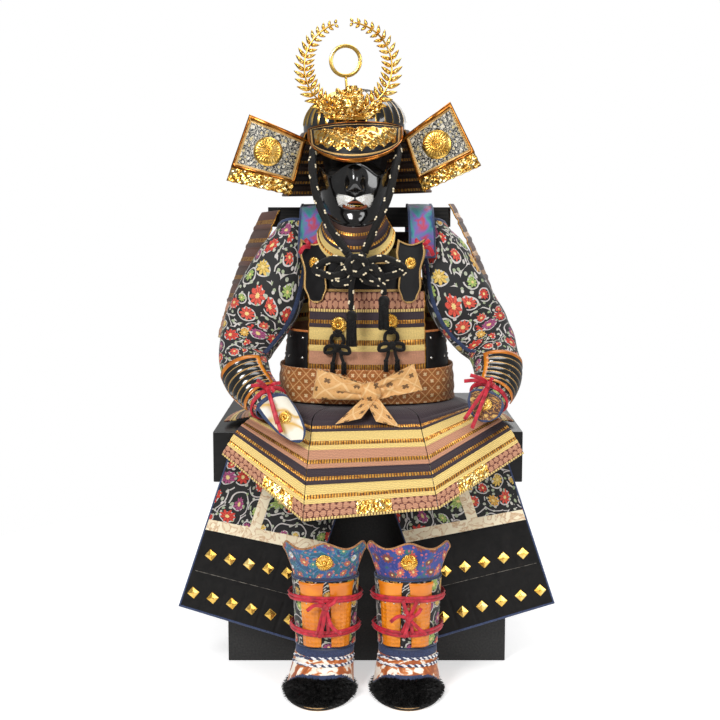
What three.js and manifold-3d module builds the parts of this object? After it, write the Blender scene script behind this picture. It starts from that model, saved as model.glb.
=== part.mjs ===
// Samurai armour seated on its storage chest: a hollow suit of lacquered plates, lacing and brocade.
// Millimetres, +Z up. The front faces -Y and the origin is the centre of the chest's underside.
import * as THREE from "three";
import { mergeVertices } from "three/addons/utils/BufferGeometryUtils.js";
import Module from "manifold-3d";

const wasm = await Module();
wasm.setup();

// Driving dimensions
const SEAM = 0.4;
const CHEST = { width: 578, depth: 500, wall: 12 };
const LID = { width: 629, depth: 550, low: 386, top: 490, wall: 22, deck: 12, x: 2 };
const BODY = { x: 0, y: -105, squareness: 2.5, low: 574, chest: 771, halfWide: [176, 154], halfDeep: [124, 127] };
const PLATE = 3;
const ROW_LIP = 2;
const BREAST = { top: 832, half: 108 };
const BAR = { low: 900, top: 942, front: -95, back: -45 };
const STRAP = { x: 112, half: 27, thick: 3 };
const HEAD = { x: -24, y: -105, z: 1100, lean: 1.5, bowl: 105, band: 22, dome: 84 };
const SASH = { low: 541, high: 612 };
const SKIRT = { thick: 2.5, lip: 2.2, rows: 6, waist: 0.2 };
const SLEEVE = 2.5;
const LEG = { shinLow: 83.2, shinHigh: 222, kneeLow: 223.4, collar: 80, soleFront: -526, soleBack: -296 };

const COLOURS = {
  blackLacquer: 0x15110f,
  brownLacquer: 0x3a2014,
  orangeLacquer: 0xc9721c,
  gold: 0xd9a441,
  lacing: 0xe3c98f,
  brocade: 0x2a2430,
  teal: 0x2a5560,
  sash: 0xc79a62,
  ivory: 0xe2cda0,
  crimson: 0xb01f35,
  cord: 0x17130f,
  wood: 0x1a1613,
  fur: 0x0d0c0c,
};
const METAL = new Set(["gold"]);

const armour = new THREE.Group();
const rad = THREE.MathUtils.degToRad;
const mix = THREE.MathUtils.lerp;
const blend = THREE.MathUtils.smoothstep;
const vec = (x, y, z) => new THREE.Vector3(x, y, z);

function even(count, from = 0, to = 1) {
  return Array.from({ length: count + 1 }, (_, i) => mix(from, to, i / count));
}

function ringSteps(count) {
  return even(count).slice(0, count);
}

function volume(geometry) {
  const p = geometry.attributes.position;
  const index = geometry.index;
  const [a, b, c] = [vec(), vec(), vec()];
  let sum = 0;
  for (let i = 0; i < index.count; i += 3) {
    a.fromBufferAttribute(p, index.getX(i));
    b.fromBufferAttribute(p, index.getX(i + 1));
    c.fromBufferAttribute(p, index.getX(i + 2));
    sum += a.dot(b.cross(c));
  }
  return sum / 6;
}

// Any geometry as merged vertices with its faces pointing out
function solid(source) {
  let geometry = source.clone();
  geometry.deleteAttribute("normal");
  geometry.deleteAttribute("uv");
  geometry = mergeVertices(geometry, 1e-4);
  if (volume(geometry) < 0) {
    const index = geometry.index;
    for (let i = 0; i < index.count; i += 3) {
      const first = index.getX(i);
      index.setX(i, index.getX(i + 1));
      index.setX(i + 1, first);
    }
  }
  return geometry;
}

function toManifold(geometry) {
  const s = solid(geometry);
  const mesh = new wasm.Mesh({
    numProp: 3,
    vertProperties: Float32Array.from(s.attributes.position.array),
    triVerts: Uint32Array.from(s.index.array),
  });
  mesh.merge();
  return new wasm.Manifold(mesh);
}

function fromManifold(body) {
  const mesh = body.getMesh();
  const geometry = new THREE.BufferGeometry();
  geometry.setAttribute("position", new THREE.BufferAttribute(mesh.vertProperties, 3));
  geometry.setIndex(new THREE.BufferAttribute(mesh.triVerts, 1));
  return geometry;
}

function join(...geometries) {
  return fromManifold(wasm.Manifold.union(geometries.map(toManifold)).simplify(0.02));
}

function cut(geometry, ...tools) {
  return fromManifold(toManifold(geometry).subtract(wasm.Manifold.union(tools.map(toManifold))));
}

function piece(name, geometry, colour, parent = armour) {
  const material = new THREE.MeshStandardMaterial({
    color: COLOURS[colour],
    roughness: METAL.has(colour) ? 0.3 : 0.7,
    metalness: METAL.has(colour) ? 1 : 0,
  });
  const mesh = new THREE.Mesh(solid(geometry), material);
  mesh.name = name;
  parent.add(mesh);
  return mesh;
}

// Outward direction of a surface whose u runs to the viewer's right and v runs down, seen from outside
function outward(at, u, v) {
  const e = 1e-3;
  const across = at(u + e, v).sub(at(u - e, v));
  const down = at(u, v + e).sub(at(u, v - e));
  return down.cross(across).normalize();
}

function over(at, distance) {
  return (u, v) => at(u, v).addScaledVector(outward(at, u, v), distance);
}

// A closed wall: the inner face is at(u, v) and the outer face lies thick + relief(u, v) outside it
function wall({ at, us, vs, thick = PLATE, relief = () => 0, ring = false }) {
  const columns = us.length;
  const rows = vs.length;
  const points = [];
  for (const face of [0, 1]) {
    for (const v of vs) {
      for (const u of us) {
        const p = at(u, v);
        if (face) p.addScaledVector(outward(at, u, v), thick + relief(u, v));
        points.push(p.x, p.y, p.z);
      }
    }
  }
  const id = (face, i, j) => face * rows * columns + j * columns + (i % columns);
  const index = [];
  const quad = (a, b, c, d) => index.push(a, b, c, a, c, d);
  const spans = ring ? columns : columns - 1;
  for (let i = 0; i < spans; i++) {
    for (let j = 0; j < rows - 1; j++) {
      quad(id(1, i, j), id(1, i, j + 1), id(1, i + 1, j + 1), id(1, i + 1, j));
      quad(id(0, i, j), id(0, i + 1, j), id(0, i + 1, j + 1), id(0, i, j + 1));
    }
    quad(id(0, i, 0), id(1, i, 0), id(1, i + 1, 0), id(0, i + 1, 0));
    const last = rows - 1;
    quad(id(0, i, last), id(0, i + 1, last), id(1, i + 1, last), id(1, i, last));
  }
  if (!ring) {
    const last = columns - 1;
    for (let j = 0; j < rows - 1; j++) {
      quad(id(0, 0, j), id(0, 0, j + 1), id(1, 0, j + 1), id(1, 0, j));
      quad(id(0, last, j), id(1, last, j), id(1, last, j + 1), id(0, last, j + 1));
    }
  }
  const geometry = new THREE.BufferGeometry();
  geometry.setAttribute("position", new THREE.Float32BufferAttribute(points, 3));
  geometry.setIndex(index);
  return geometry;
}

// Overlapping rows between v = from and v = to: each stands proud at its lower edge
function rows(count, from = 0, to = 1, lip = ROW_LIP) {
  const height = (to - from) / count;
  const notch = height * 0.06;
  const vs = [];
  if (from > 0) vs.push(0);
  for (let i = 0; i < count; i++) {
    vs.push(from + i * height + (i || from > 0 ? notch : 0), from + (i + 1) * height);
  }
  if (to < 1) vs.push(1);
  const relief = (u, v) => {
    if (v <= from || v > to + 1e-9) return 0;
    const row = (v - from) / height;
    const part = row - Math.floor(row - 1e-9);
    return lip * part;
  };
  return { vs, relief };
}

// A point on a curve through a few points
function along(list) {
  const curve = new THREE.CatmullRomCurve3(list.map((p) => vec(...p)), false, "centripetal");
  return (s) => curve.getPoint(THREE.MathUtils.clamp(s, 0, 1), new THREE.Vector3());
}

// A point on straight stretches between a few points
function bent(list) {
  const points = list.map((p) => vec(...p));
  const spans = points.length - 1;
  return (s) => {
    const t = THREE.MathUtils.clamp(s, 0, 1) * spans;
    const i = Math.min(Math.floor(t), spans - 1);
    return points[i].clone().lerp(points[i + 1], t - i);
  };
}

function strand(points, wide, deep = wide, sides = 8, steps = 12) {
  const shape = new THREE.Shape(
    Array.from({ length: sides }, (_, i) => {
      const a = ((i + 0.5) / sides) * 2 * Math.PI;
      return new THREE.Vector2((deep / 2) * Math.cos(a), (wide / 2) * Math.sin(a));
    })
  );
  const path = new THREE.CatmullRomCurve3(points.map((p) => vec(...p)), false, "centripetal");
  return new THREE.ExtrudeGeometry(shape, { steps, bevelEnabled: false, extrudePath: path });
}

function boxAt(width, depth, height, x, y, z) {
  return new THREE.BoxGeometry(width, depth, height).translate(x, y, z + height / 2);
}

// A chrysanthemum boss facing -Y: a lathed dome whose rim has petals
function boss(radius, height, petals = 8) {
  const profile = [
    [0, 0],
    [radius, 0],
    [radius * 0.85, height * 0.7],
    [0, height],
  ].map(([r, y]) => new THREE.Vector2(r, y));
  const geometry = new THREE.LatheGeometry(profile, petals * 2);
  const p = geometry.attributes.position;
  for (let i = 0; i < p.count; i++) {
    const angle = Math.atan2(p.getZ(i), p.getX(i));
    const scale = 1 + 0.05 * Math.cos(petals * angle);
    p.setX(i, p.getX(i) * scale);
    p.setZ(i, p.getZ(i) * scale);
  }
  return geometry.rotateX(Math.PI);
}

// Seats a shape that faces -Y on a surface, a little sunk so that it becomes one with it
function seated(geometry, at, u, v, lift) {
  const n = outward(at, u, v);
  const place = at(u, v).addScaledVector(n, lift);
  const turn = new THREE.Quaternion().setFromUnitVectors(vec(0, -1, 0), n);
  return geometry.clone().applyQuaternion(turn).translate(place.x, place.y, place.z);
}

// Storage chest
const boxTop = LID.top - LID.deck - SEAM;
piece(
  "chest_box",
  cut(
    boxAt(CHEST.width, CHEST.depth, boxTop, 0, 0, 0),
    boxAt(CHEST.width - 2 * CHEST.wall, CHEST.depth - 2 * CHEST.wall, boxTop, 0, 0, CHEST.wall)
  ),
  "wood"
);
piece(
  "chest_lid",
  cut(
    boxAt(LID.width, LID.depth, LID.top - LID.low, LID.x, 0, LID.low),
    boxAt(LID.width - 2 * LID.wall, LID.depth - 2 * LID.wall, LID.top - LID.low, LID.x, 0, LID.low - LID.deck)
  ),
  "wood"
);

// Body section: a squared oval that narrows towards the armholes
function torso(angle, z, off = 0) {
  const t = (z - BODY.low) / (BODY.chest - BODY.low);
  const a = mix(...BODY.halfWide, THREE.MathUtils.clamp(t, 0, 1)) + off;
  const b = mix(...BODY.halfDeep, THREE.MathUtils.clamp(t, 0, 1)) + off;
  const s = Math.sin(angle);
  const c = Math.cos(angle);
  const k = BODY.squareness;
  const r = Math.pow(Math.pow(Math.abs(s) / a, k) + Math.pow(Math.abs(c) / b, k), -1 / k);
  return vec(BODY.x + r * s, BODY.y - r * c, z);
}

// Depth of the body's front (side -1) or back (side 1) at a given x
function bodyY(x, z, side, off = 0) {
  const t = THREE.MathUtils.clamp((z - BODY.low) / (BODY.chest - BODY.low), 0, 1);
  const a = mix(...BODY.halfWide, t) + off;
  const b = mix(...BODY.halfDeep, t) + off;
  const k = BODY.squareness;
  const part = 1 - Math.pow(Math.min(Math.abs(x - BODY.x) / a, 0.999), k);
  return BODY.y + side * b * Math.pow(part, 1 / k);
}

// Cuirass: front, back and two side plates that meet at seams
const FRONT_ANGLE = 50;
const SIDE_ANGLE = 92;
const SEAM_ANGLE = 0.2;
function bodyPlate(from, to, low, topAt) {
  return (u, v) => {
    const angle = rad(mix(from, to, u));
    return torso(angle, mix(topAt(u), low, v));
  };
}

const frontRows = rows(7);
piece(
  "cuirass_front",
  wall({
    at: bodyPlate(-FRONT_ANGLE, FRONT_ANGLE, BODY.low, () => BODY.chest),
    us: even(7),
    vs: frontRows.vs,
    relief: frontRows.relief,
  }),
  "lacing"
);
const BACK_TOP = 888;
const backRows = rows(8);
piece(
  "cuirass_back",
  wall({
    at: (u, v) => {
      const z = mix(BACK_TOP, BODY.low, v);
      const half = mix(180 - SIDE_ANGLE, 50, blend(z, 720, 800)) - SEAM_ANGLE;
      return torso(rad(180 + mix(-half, half, u)), z);
    },
    us: even(8),
    vs: backRows.vs,
    relief: backRows.relief,
  }),
  "brownLacquer"
);
const SIDE_TOP = 690;
for (const [name, side] of [["left", -1], ["right", 1]]) {
  const near = FRONT_ANGLE + SEAM_ANGLE;
  const far = SIDE_ANGLE - SEAM_ANGLE;
  const from = side < 0 ? -far : near;
  const to = side < 0 ? -near : far;
  piece(
    `cuirass_side_${name}`,
    wall({
      at: bodyPlate(from, to, BODY.low, () => SIDE_TOP),
      us: even(4),
      vs: even(3),
    }),
    "blackLacquer"
  );
}

function breastAt(u, v) {
  const x = mix(-BREAST.half, BREAST.half, u);
  const top = BREAST.top + 14 * Math.pow(Math.abs(x) / BREAST.half, 2);
  const z = mix(top, BODY.chest + SEAM + 0.2, v);
  return vec(x, bodyY(x, z, -1), z);
}
piece("breast_plate", wall({ at: breastAt, us: even(8), vs: even(2) }), "blackLacquer");

// Shoulder straps run from the breast plate over the stand's bar to the back plate
for (const [name, side] of [["left", -1], ["right", 1]]) {
  const x = side * STRAP.x;
  const lift = PLATE + 1.4;
  const front = bodyY(x, BREAST.top, -1, lift);
  const back = bodyY(x, BACK_TOP, 1, lift + ROW_LIP);
  const path = along([
    [0, front, 838],
    [0, front + 8, 880],
    [0, front + 40, 928],
    [0, BAR.front - 2, BAR.top + 0.8],
    [0, BAR.back + 2, BAR.top + 0.8],
    [0, back, 915],
    [0, back + 1, 866],
  ]);
  const at = (u, v) => {
    const p = path(v);
    const px = x + mix(-STRAP.half, STRAP.half, u);
    const ends = 1 - blend(v, 0.08, 0.3) * (1 - blend(v, 0.72, 0.92));
    const end = v < 0.5 ? -1 : 1;
    const follow = bodyY(px, BACK_TOP, end, lift) - bodyY(x, BACK_TOP, end, lift);
    return vec(px, p.y + follow * ends, p.z);
  };
  piece(
    `shoulder_strap_${name}`,
    wall({ at: (u, v) => at(1 - u, v), us: even(3), vs: even(12), thick: STRAP.thick }),
    "teal"
  );
}

// Leaf plates that guard the strap fastenings, each with a boss
const LEAF = { half: 30, top: 878, tip: 748, thick: 2.5, lift: PLATE + STRAP.thick + 2 };
for (const [name, side, middle] of [["left", -1, -107], ["right", 1, 89]]) {
  const shape = [
    { v: 0, half: 0.9 },
    { v: 0.2, half: 1 },
    { v: 0.5, half: 0.72 },
    { v: 0.75, half: 0.78 },
    { v: 0.93, half: 0.5 },
    { v: 1, half: 0.15 },
  ];
  const halfAt = (v) => {
    const i = Math.max(1, shape.findIndex((row) => row.v >= Math.min(v, 1)));
    const [a, b] = [shape[i - 1], shape[i]];
    return LEAF.half * mix(a.half, b.half, THREE.MathUtils.clamp((v - a.v) / (b.v - a.v), 0, 1));
  };
  const at = (u, v) => {
    const x = middle + mix(-1, 1, u) * halfAt(v) - 4 * side * v;
    const dip = 10 * Math.cos(Math.PI * (u - 0.5)) * (1 - v);
    const z = mix(LEAF.top, LEAF.tip, v) - dip;
    return vec(x, bodyY(x, BREAST.top, -1, LEAF.lift), z);
  };
  const plate = wall({ at, us: even(4), vs: shape.map((row) => row.v), thick: LEAF.thick });
  piece(`leaf_plate_${name}`, join(plate, seated(boss(12, 7), at, 0.5, 0.32, LEAF.thick - 0.8)), "blackLacquer");
}

// Stand: foot, post, shoulder bar with slanted ends and a rounded head block
const POST = { x: -8, y: -70, side: 36 };
const barPlan = new THREE.Shape([
  new THREE.Vector2(-185, BAR.front),
  new THREE.Vector2(174, BAR.front),
  new THREE.Vector2(182, BAR.back),
  new THREE.Vector2(-213, BAR.back),
]);
const headBlock = new THREE.LatheGeometry(
  [
    [0, 960],
    [40, 960],
    [62, 1010],
    [80, 1078],
    [86, 1130],
    [66, 1156],
    [30, 1174],
    [0, 1182.2],
  ].map(([r, z]) => new THREE.Vector2(r, z)),
  14
)
  .rotateX(Math.PI / 2)
  .translate(HEAD.x, HEAD.y, 0);
piece(
  "stand",
  join(
    boxAt(220, 150, 16, POST.x, POST.y - 10, LID.top + SEAM),
    boxAt(POST.side, POST.side, 520, POST.x, POST.y, LID.top + 10),
    new THREE.ExtrudeGeometry(barPlan, { depth: BAR.top - BAR.low, bevelEnabled: false }).translate(0, 0, BAR.low),
    headBlock,
    new THREE.SphereGeometry(1, 12, 6).rotateX(Math.PI / 2).scale(69.3, 60.3, 46).translate(HEAD.x, -172, 992)
  ),
  "wood"
);

// Helmet, leaning a little
const helmet = new THREE.Group();
helmet.position.set(HEAD.x, HEAD.y, HEAD.z);
helmet.rotation.y = -rad(HEAD.lean);
armour.add(helmet);

const RIBS = 10;
function bowlAt(u, v) {
  const angle = rad(360 * u);
  const rise = Math.min(v / 0.75, 1) * (Math.PI / 2);
  const radius = v < 0.75 ? HEAD.bowl * Math.max(Math.sin(rise), 0.08) : HEAD.bowl;
  const z = v < 0.75 ? 12 + (HEAD.dome - 12) * Math.cos(rise) : mix(12, -HEAD.band, (v - 0.75) / 0.25);
  return vec(radius * Math.sin(angle), -radius * Math.cos(angle), z);
}
const bowl = wall({
  at: bowlAt,
  us: ringSteps(RIBS * 2),
  vs: [0.04, 0.24, 0.42, 0.59, 0.75, 1],
  thick: 2.5,
  relief: (u, v) => (v < 0.75 && Math.round(u * RIBS * 2) % 2 ? 2 : 0),
  ring: true,
});
const crown = new THREE.LatheGeometry(
  [
    [0, 0],
    [15, 0],
    [13, 5],
    [8, 6],
    [6, 12],
    [0, 12],
  ].map(([r, y]) => new THREE.Vector2(r, y)),
  12
)
  .rotateX(Math.PI / 2)
  .translate(0, 0, HEAD.dome - 1);
piece("helmet_bowl", join(bowl, crown), "blackLacquer", helmet);

// Visor: a broad convex plate that dips over the brow
function visorAt(u, v) {
  const s = mix(-1, 1, u);
  const angle = rad(62 * s);
  const dip = Math.pow(Math.max(1 - s * s, 0), 0.6);
  const root = HEAD.bowl + 3.4;
  const top = vec(root * Math.sin(angle), -root * Math.cos(angle), 2 + 9 * (1 - s * s));
  const low = vec(95 * s, mix(-64, -157, dip), mix(-14, -70, dip));
  return top.lerp(low, v).add(vec(0, -9 * Math.sin(Math.PI * v) * dip, 6 * Math.sin(Math.PI * v) * dip));
}
piece("visor", wall({ at: visorAt, us: even(14), vs: even(4), thick: 2.5 }), "gold", helmet);

// Neck guard: flared rows round the sides and back
const GUARD_ANGLE = 63.5;
const guardRows = rows(3, 0, 1, 2.5);
function neckAt(u, v) {
  const angle = rad(mix(GUARD_ANGLE, 360 - GUARD_ANGLE, u));
  const radius = HEAD.bowl + 4.4 + mix(0, 44, v) + 6 * Math.sin(Math.PI * v);
  return vec(radius * Math.sin(angle), -radius * Math.cos(angle), mix(-2, -132, v));
}
piece(
  "neck_guard",
  wall({ at: neckAt, us: even(13), vs: guardRows.vs, thick: 2.5, relief: guardRows.relief }),
  "brownLacquer",
  helmet
);

// Turn-backs: the top row's front ends folded out into wide wings
const FOLD_GAP = 0.0016;
const TURNBACKS = [
  {
    name: "left",
    outerTop: [-238, -180, 1130],
    outerLow: [-287, -178, 996],
  },
  {
    name: "right",
    outerTop: [168, -180, 1155],
    outerLow: [233, -178, 1026],
  },
];
for (const row of TURNBACKS) {
  const left = row.name === "left";
  helmet.updateMatrixWorld(true);
  const onGuard = (v) => neckAt(left ? 1 + FOLD_GAP : -FOLD_GAP, v).applyMatrix4(helmet.matrixWorld).toArray();
  const [a, b] = left ? [row.outerTop, onGuard(0.1)] : [onGuard(0.1), row.outerTop];
  const [c, d] = left ? [row.outerLow, onGuard(0.98)] : [onGuard(0.98), row.outerLow];
  const at = (u, v) => {
    const p = vec(...a).lerp(vec(...b), u).lerp(vec(...c).lerp(vec(...d), u), v);
    p.y -= 22 * Math.sin(Math.PI * u);
    return p;
  };
  const border = (u, v) => (u < 0.06 || u > 0.94 || v < 0.05 || v > 0.78 ? 2 : 0);
  const plate = wall({
    at,
    us: [0, 0.05, 0.08, 0.3, 0.5, 0.7, 0.92, 0.95, 1],
    vs: [0, 0.04, 0.07, 0.74, 0.79, 1],
    thick: 2.5,
    relief: border,
  });
  piece(`turnback_${row.name}`, join(plate, seated(boss(30, 6, 10), at, 0.48, 0.42, 1.8)), "blackLacquer");
}

// Crest: a wreath of two fern fronds with a ring on a stalk, and a beast's head on a leafy base
const CREST = { x: -38, z: 1222, radius: 88, y: -214.9, thick: 2.5 };
const STEM = 1.8;
const LEAVES = { count: 11, long: 32, short: 11, lean: 0.76, spread: 0.66 };
const MOON = { x: -43, z: 1234, outer: 32.5, inner: 26.5 };
const STALK = { x: -39, low: 1113, high: 1204, side: 5 };
function flat(shape) {
  return new THREE.ExtrudeGeometry(shape, { depth: CREST.thick, bevelEnabled: false, curveSegments: 10 })
    .rotateX(Math.PI / 2)
    .translate(0, CREST.y + CREST.thick, 0);
}
// One frond: an outline that runs up the outer leaves and back down the inner ones
function frond(side, sweep) {
  const onStem = (t, r) => {
    const a = -Math.PI / 2 + side * t;
    return new THREE.Vector2(CREST.x + r * Math.cos(a), CREST.z + r * Math.sin(a));
  };
  const edge = (spread) => {
    const points = [];
    for (let i = 0; i < LEAVES.count; i++) {
      const share = i / (LEAVES.count - 1);
      const t = mix(rad(20), rad(sweep), share);
      const length = mix(LEAVES.long, LEAVES.short, share * share);
      const reach = (part, off) => {
        const ahead = (length * part) / CREST.radius;
        const aside = STEM + length * part * LEAVES.spread;
        return onStem(t + ahead * LEAVES.lean + off * 0.03, CREST.radius + spread * aside);
      };
      points.push(reach(0, -1), reach(1, 0), reach(0.5, 2.4), reach(0, 1.6));
    }
    return points;
  };
  const start = onStem(0, CREST.radius + STEM);
  const finish = onStem(0, CREST.radius - STEM);
  return flat(new THREE.Shape([start, ...edge(1), ...edge(-1).reverse(), finish]));
}
const moon = new THREE.Shape().absarc(MOON.x, MOON.z, MOON.outer, 0, 2 * Math.PI);
moon.holes.push(new THREE.Path().absarc(MOON.x, MOON.z, MOON.inner, 0, 2 * Math.PI, true));
const stalkHigh = STALK.high - STALK.low;
const stalk = boxAt(STALK.side, CREST.thick, stalkHigh, STALK.x, CREST.y + CREST.thick / 2, STALK.low);
piece("crest_wreath", join(frond(1, 172), frond(-1, 160), flat(moon), stalk), "gold");

const BEAST = { x: -36, y: -236, z: 1148 };
function lump(x, y, z, rx, ry, rz, turns = 10) {
  return new THREE.SphereGeometry(1, turns, Math.round(turns * 0.7))
    .rotateX(Math.PI / 2)
    .scale(rx, ry, rz)
    .translate(BEAST.x + x, BEAST.y + y, BEAST.z + z);
}
const basePlan = new THREE.Shape();
basePlan.moveTo(BEAST.x - 58, 1122);
basePlan.quadraticCurveTo(BEAST.x, 1112, BEAST.x + 58, 1122);
basePlan.quadraticCurveTo(BEAST.x + 66, 1146, BEAST.x + 50, 1156);
basePlan.quadraticCurveTo(BEAST.x + 40, 1142, BEAST.x + 24, 1148);
basePlan.lineTo(BEAST.x - 24, 1148);
basePlan.quadraticCurveTo(BEAST.x - 40, 1142, BEAST.x - 50, 1156);
basePlan.quadraticCurveTo(BEAST.x - 66, 1146, BEAST.x - 58, 1122);
const basePlate = new THREE.ExtrudeGeometry(basePlan, { depth: 3, bevelEnabled: false, curveSegments: 4 })
  .rotateX(Math.PI / 2)
  .translate(0, CREST.y - SEAM, 0);
piece(
  "crest_head",
  join(
    basePlate,
    lump(0, 5, 4, 26, 15, 28, 10),
    lump(0, -8, -10, 17, 14, 12, 8),
    lump(-20, 6, 22, 9, 8, 13, 6),
    lump(20, 6, 22, 9, 8, 13, 6),
    lump(0, -2, 26, 10, 9, 11, 6),
    lump(-27, 8, -4, 9, 7, 18, 6),
    lump(27, 8, -4, 9, 7, 18, 6)
  ),
  "gold"
);

// Face mask: a calm half mask of cheeks, nose, mouth and chin
const MASK_COLUMNS = [0, 0.12, 0.23, 0.33, 0.41, 0.46, 0.5, 0.54, 0.59, 0.67, 0.77, 0.88, 1];
const MASK = { x: -24, y: -172, chin: 905, top: 1028 };
function maskAt(u, v) {
  const s = mix(-1, 1, u);
  const angle = rad(96 * s);
  const side = Math.abs(s);
  const nose = Math.exp(-Math.pow(s / 0.13, 2));
  const brow = MASK.top - 22 * Math.exp(-Math.pow((side - 0.42) / 0.2, 2)) + 4 * nose;
  const low = MASK.chin + 46 * Math.pow(side, 2.2);
  const z = mix(brow, low, v);
  const h = THREE.MathUtils.clamp((z - MASK.chin) / (MASK.top - MASK.chin), 0, 1);
  const a = mix(50, 76, Math.pow(h, 0.6));
  const b = mix(58, 62, h);
  const cheek = 5 * Math.exp(-Math.pow((side - 0.42) / 0.16, 2)) * Math.exp(-Math.pow((h - 0.62) / 0.18, 2));
  const bridge = 20 * nose * Math.exp(-Math.pow((h - 0.72) / 0.17, 2));
  const lip = 6 * Math.exp(-Math.pow(s / 0.3, 2)) * Math.exp(-Math.pow((h - 0.34) / 0.1, 2));
  const jut = 8 * Math.exp(-Math.pow(s / 0.3, 2)) * Math.exp(-Math.pow((h - 0.08) / 0.12, 2));
  const out = cheek + lip + jut;
  return vec(
    MASK.x + (a + out * 0.5) * Math.sin(angle),
    MASK.y - (b + out) * Math.cos(angle) - bridge,
    z
  );
}
const mouth = lump(0, 0, 0, 21, 26, 5, 12).translate(MASK.x - BEAST.x, MASK.y - 66 - BEAST.y, 946 - BEAST.z);
piece(
  "mask",
  cut(
    wall({
      at: maskAt,
      us: MASK_COLUMNS,
      vs: [0, 0.14, 0.28, 0.42, 0.56, 0.7, 0.86, 1],
      thick: 2.5,
    }),
    mouth
  ),
  "blackLacquer"
);

// Throat guard: laced rows under the chin
const throatRows = rows(3, 0, 1, 1.8);
function throatAt(across, v) {
  const u = mix(0.09, 0.91, across);
  const s = mix(-1, 1, across);
  const angle = rad(88 * s);
  const top = maskAt(u, 1).add(vec(0, 0, -3.9));
  const low = vec(MASK.x + 2 + 82 * Math.sin(angle), MASK.y - 66 - 14 * Math.cos(angle), 826 + 66 * s * s);
  return top.lerp(low, v).add(vec(0, -6 * Math.sin(Math.PI * v), 0));
}
piece(
  "throat_guard",
  wall({ at: throatAt, us: MASK_COLUMNS, vs: throatRows.vs, thick: 2.2, relief: throatRows.relief }),
  "lacing"
);

// Chin cords from under the helmet to a bow below the chin, and its two tassels
const CHIN_CORD = 16;
const KNOT = [-20, -276, 827];
const CHIN_ROUTES = {
  left: [
    [-108, -160, 1068.3],
    [-110, -196, 1050],
    [-110, -220, 1018],
    [-100, -243, 960],
    [-76, -258, 905],
    [-39.1, -271.8, 851.2],
  ],
  right: [
    [60, -160, 1072.8],
    [64, -196, 1056],
    [56, -223, 1016],
    [42, -246, 960],
    [22, -262, 915],
    [-5.4, -272.2, 852.1],
  ],
};
const STUBS = { left: [-38.4, -272, 850], right: [-6, -272.4, 851] };
for (const [name, route] of Object.entries(CHIN_ROUTES)) {
  piece(`chin_cord_${name}`, strand(route, CHIN_CORD, CHIN_CORD, 8, 12), "cord");
}
function knotLoop(dx, dz, spread) {
  const [x, y, z] = KNOT;
  return strand(
    [
      [x, y, z],
      [x + dx * 0.55 - dz * spread, y - 3, z + dz * 0.55 + dx * spread],
      [x + dx, y, z + dz],
      [x + dx * 0.55 + dz * spread, y + 3, z + dz * 0.55 - dx * spread],
      [x + 1, y + 1, z - 1],
    ],
    13,
    13,
    5,
    8
  );
}
piece(
  "chin_knot",
  join(
    new THREE.SphereGeometry(21, 8, 6).scale(1, 0.8, 0.9).translate(...KNOT),
    knotLoop(-84, -8, 0.2),
    knotLoop(94, -8, 0.2),
    knotLoop(-44, -34, 0.26),
    knotLoop(50, -32, 0.26),
    strand([KNOT, STUBS.left], CHIN_CORD, CHIN_CORD, 8, 1),
    strand([KNOT, STUBS.right], CHIN_CORD, CHIN_CORD, 8, 1),
    strand([KNOT, [-30, -280, 795], [-32, -278, 756], [-31, -276, 738]], 12, 12, 6, 4),
    strand([KNOT, [8, -280, 802], [32, -278, 786], [34, -276, 768]], 12, 12, 6, 5)
  ),
  "cord"
);
const TASSELS = [
  { name: "left", x: -31, y: -276, z: 736.4, length: 72, strands: 14 },
  { name: "right", x: 34, y: -276, z: 766.4, length: 68, strands: 14 },
];
for (const row of TASSELS) {
  const head = new THREE.LatheGeometry(
    [
      [0, -18],
      [10, -18],
      [12, -10],
      [9, -2],
      [5, 0],
      [0, 0],
    ].map(([r, y]) => new THREE.Vector2(r, y)),
    10
  )
    .rotateX(Math.PI / 2)
    .translate(row.x, row.y, row.z);
  const strands = [];
  for (let i = 0; i < row.strands; i++) {
    const turn = i * 2.399963;
    const r = 9 * Math.sqrt((i + 0.5) / row.strands);
    const strandGeometry = new THREE.CylinderGeometry(1.1, 0.8, row.length - 14, 3, 1)
      .rotateX(Math.PI / 2)
      .translate(row.x + r * Math.cos(turn), row.y + r * Math.sin(turn), row.z - 14 - (row.length - 14) / 2);
    strands.push(strandGeometry);
  }
  piece(`tassel_${row.name}`, join(head, ...strands), "cord");
}

// Sleeves: open tubes of brocade from shoulder to wrist
const SLEEVES = {
  left: [
    { x: -150, y: -120, z: 899.1, wide: 36, deep: 38 },
    { x: -171, y: -142, z: 840, wide: 52, deep: 44 },
    { x: -202, y: -166, z: 755, wide: 68, deep: 40 },
    { x: -238, y: -168, z: 686, wide: 62, deep: 42 },
    { x: -256, y: -185, z: 634, wide: 50, deep: 42 },
    { x: -242, y: -228, z: 592, wide: 45, deep: 38 },
    { x: -214, y: -268, z: 563, wide: 39, deep: 31 },
    { x: -190, y: -300, z: 546, wide: 33, deep: 24 },
  ],
  right: [
    { x: 134, y: -120, z: 899.1, wide: 36, deep: 38 },
    { x: 164, y: -142, z: 838, wide: 50, deep: 44 },
    { x: 194, y: -168, z: 752, wide: 66, deep: 40 },
    { x: 236, y: -170, z: 688, wide: 62, deep: 42 },
    { x: 262, y: -185, z: 646, wide: 50, deep: 42 },
    { x: 268, y: -228, z: 604, wide: 45, deep: 38 },
    { x: 256, y: -268, z: 574, wide: 39, deep: 31 },
    { x: 238, y: -300, z: 556, wide: 33, deep: 24 },
  ],
};
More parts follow.
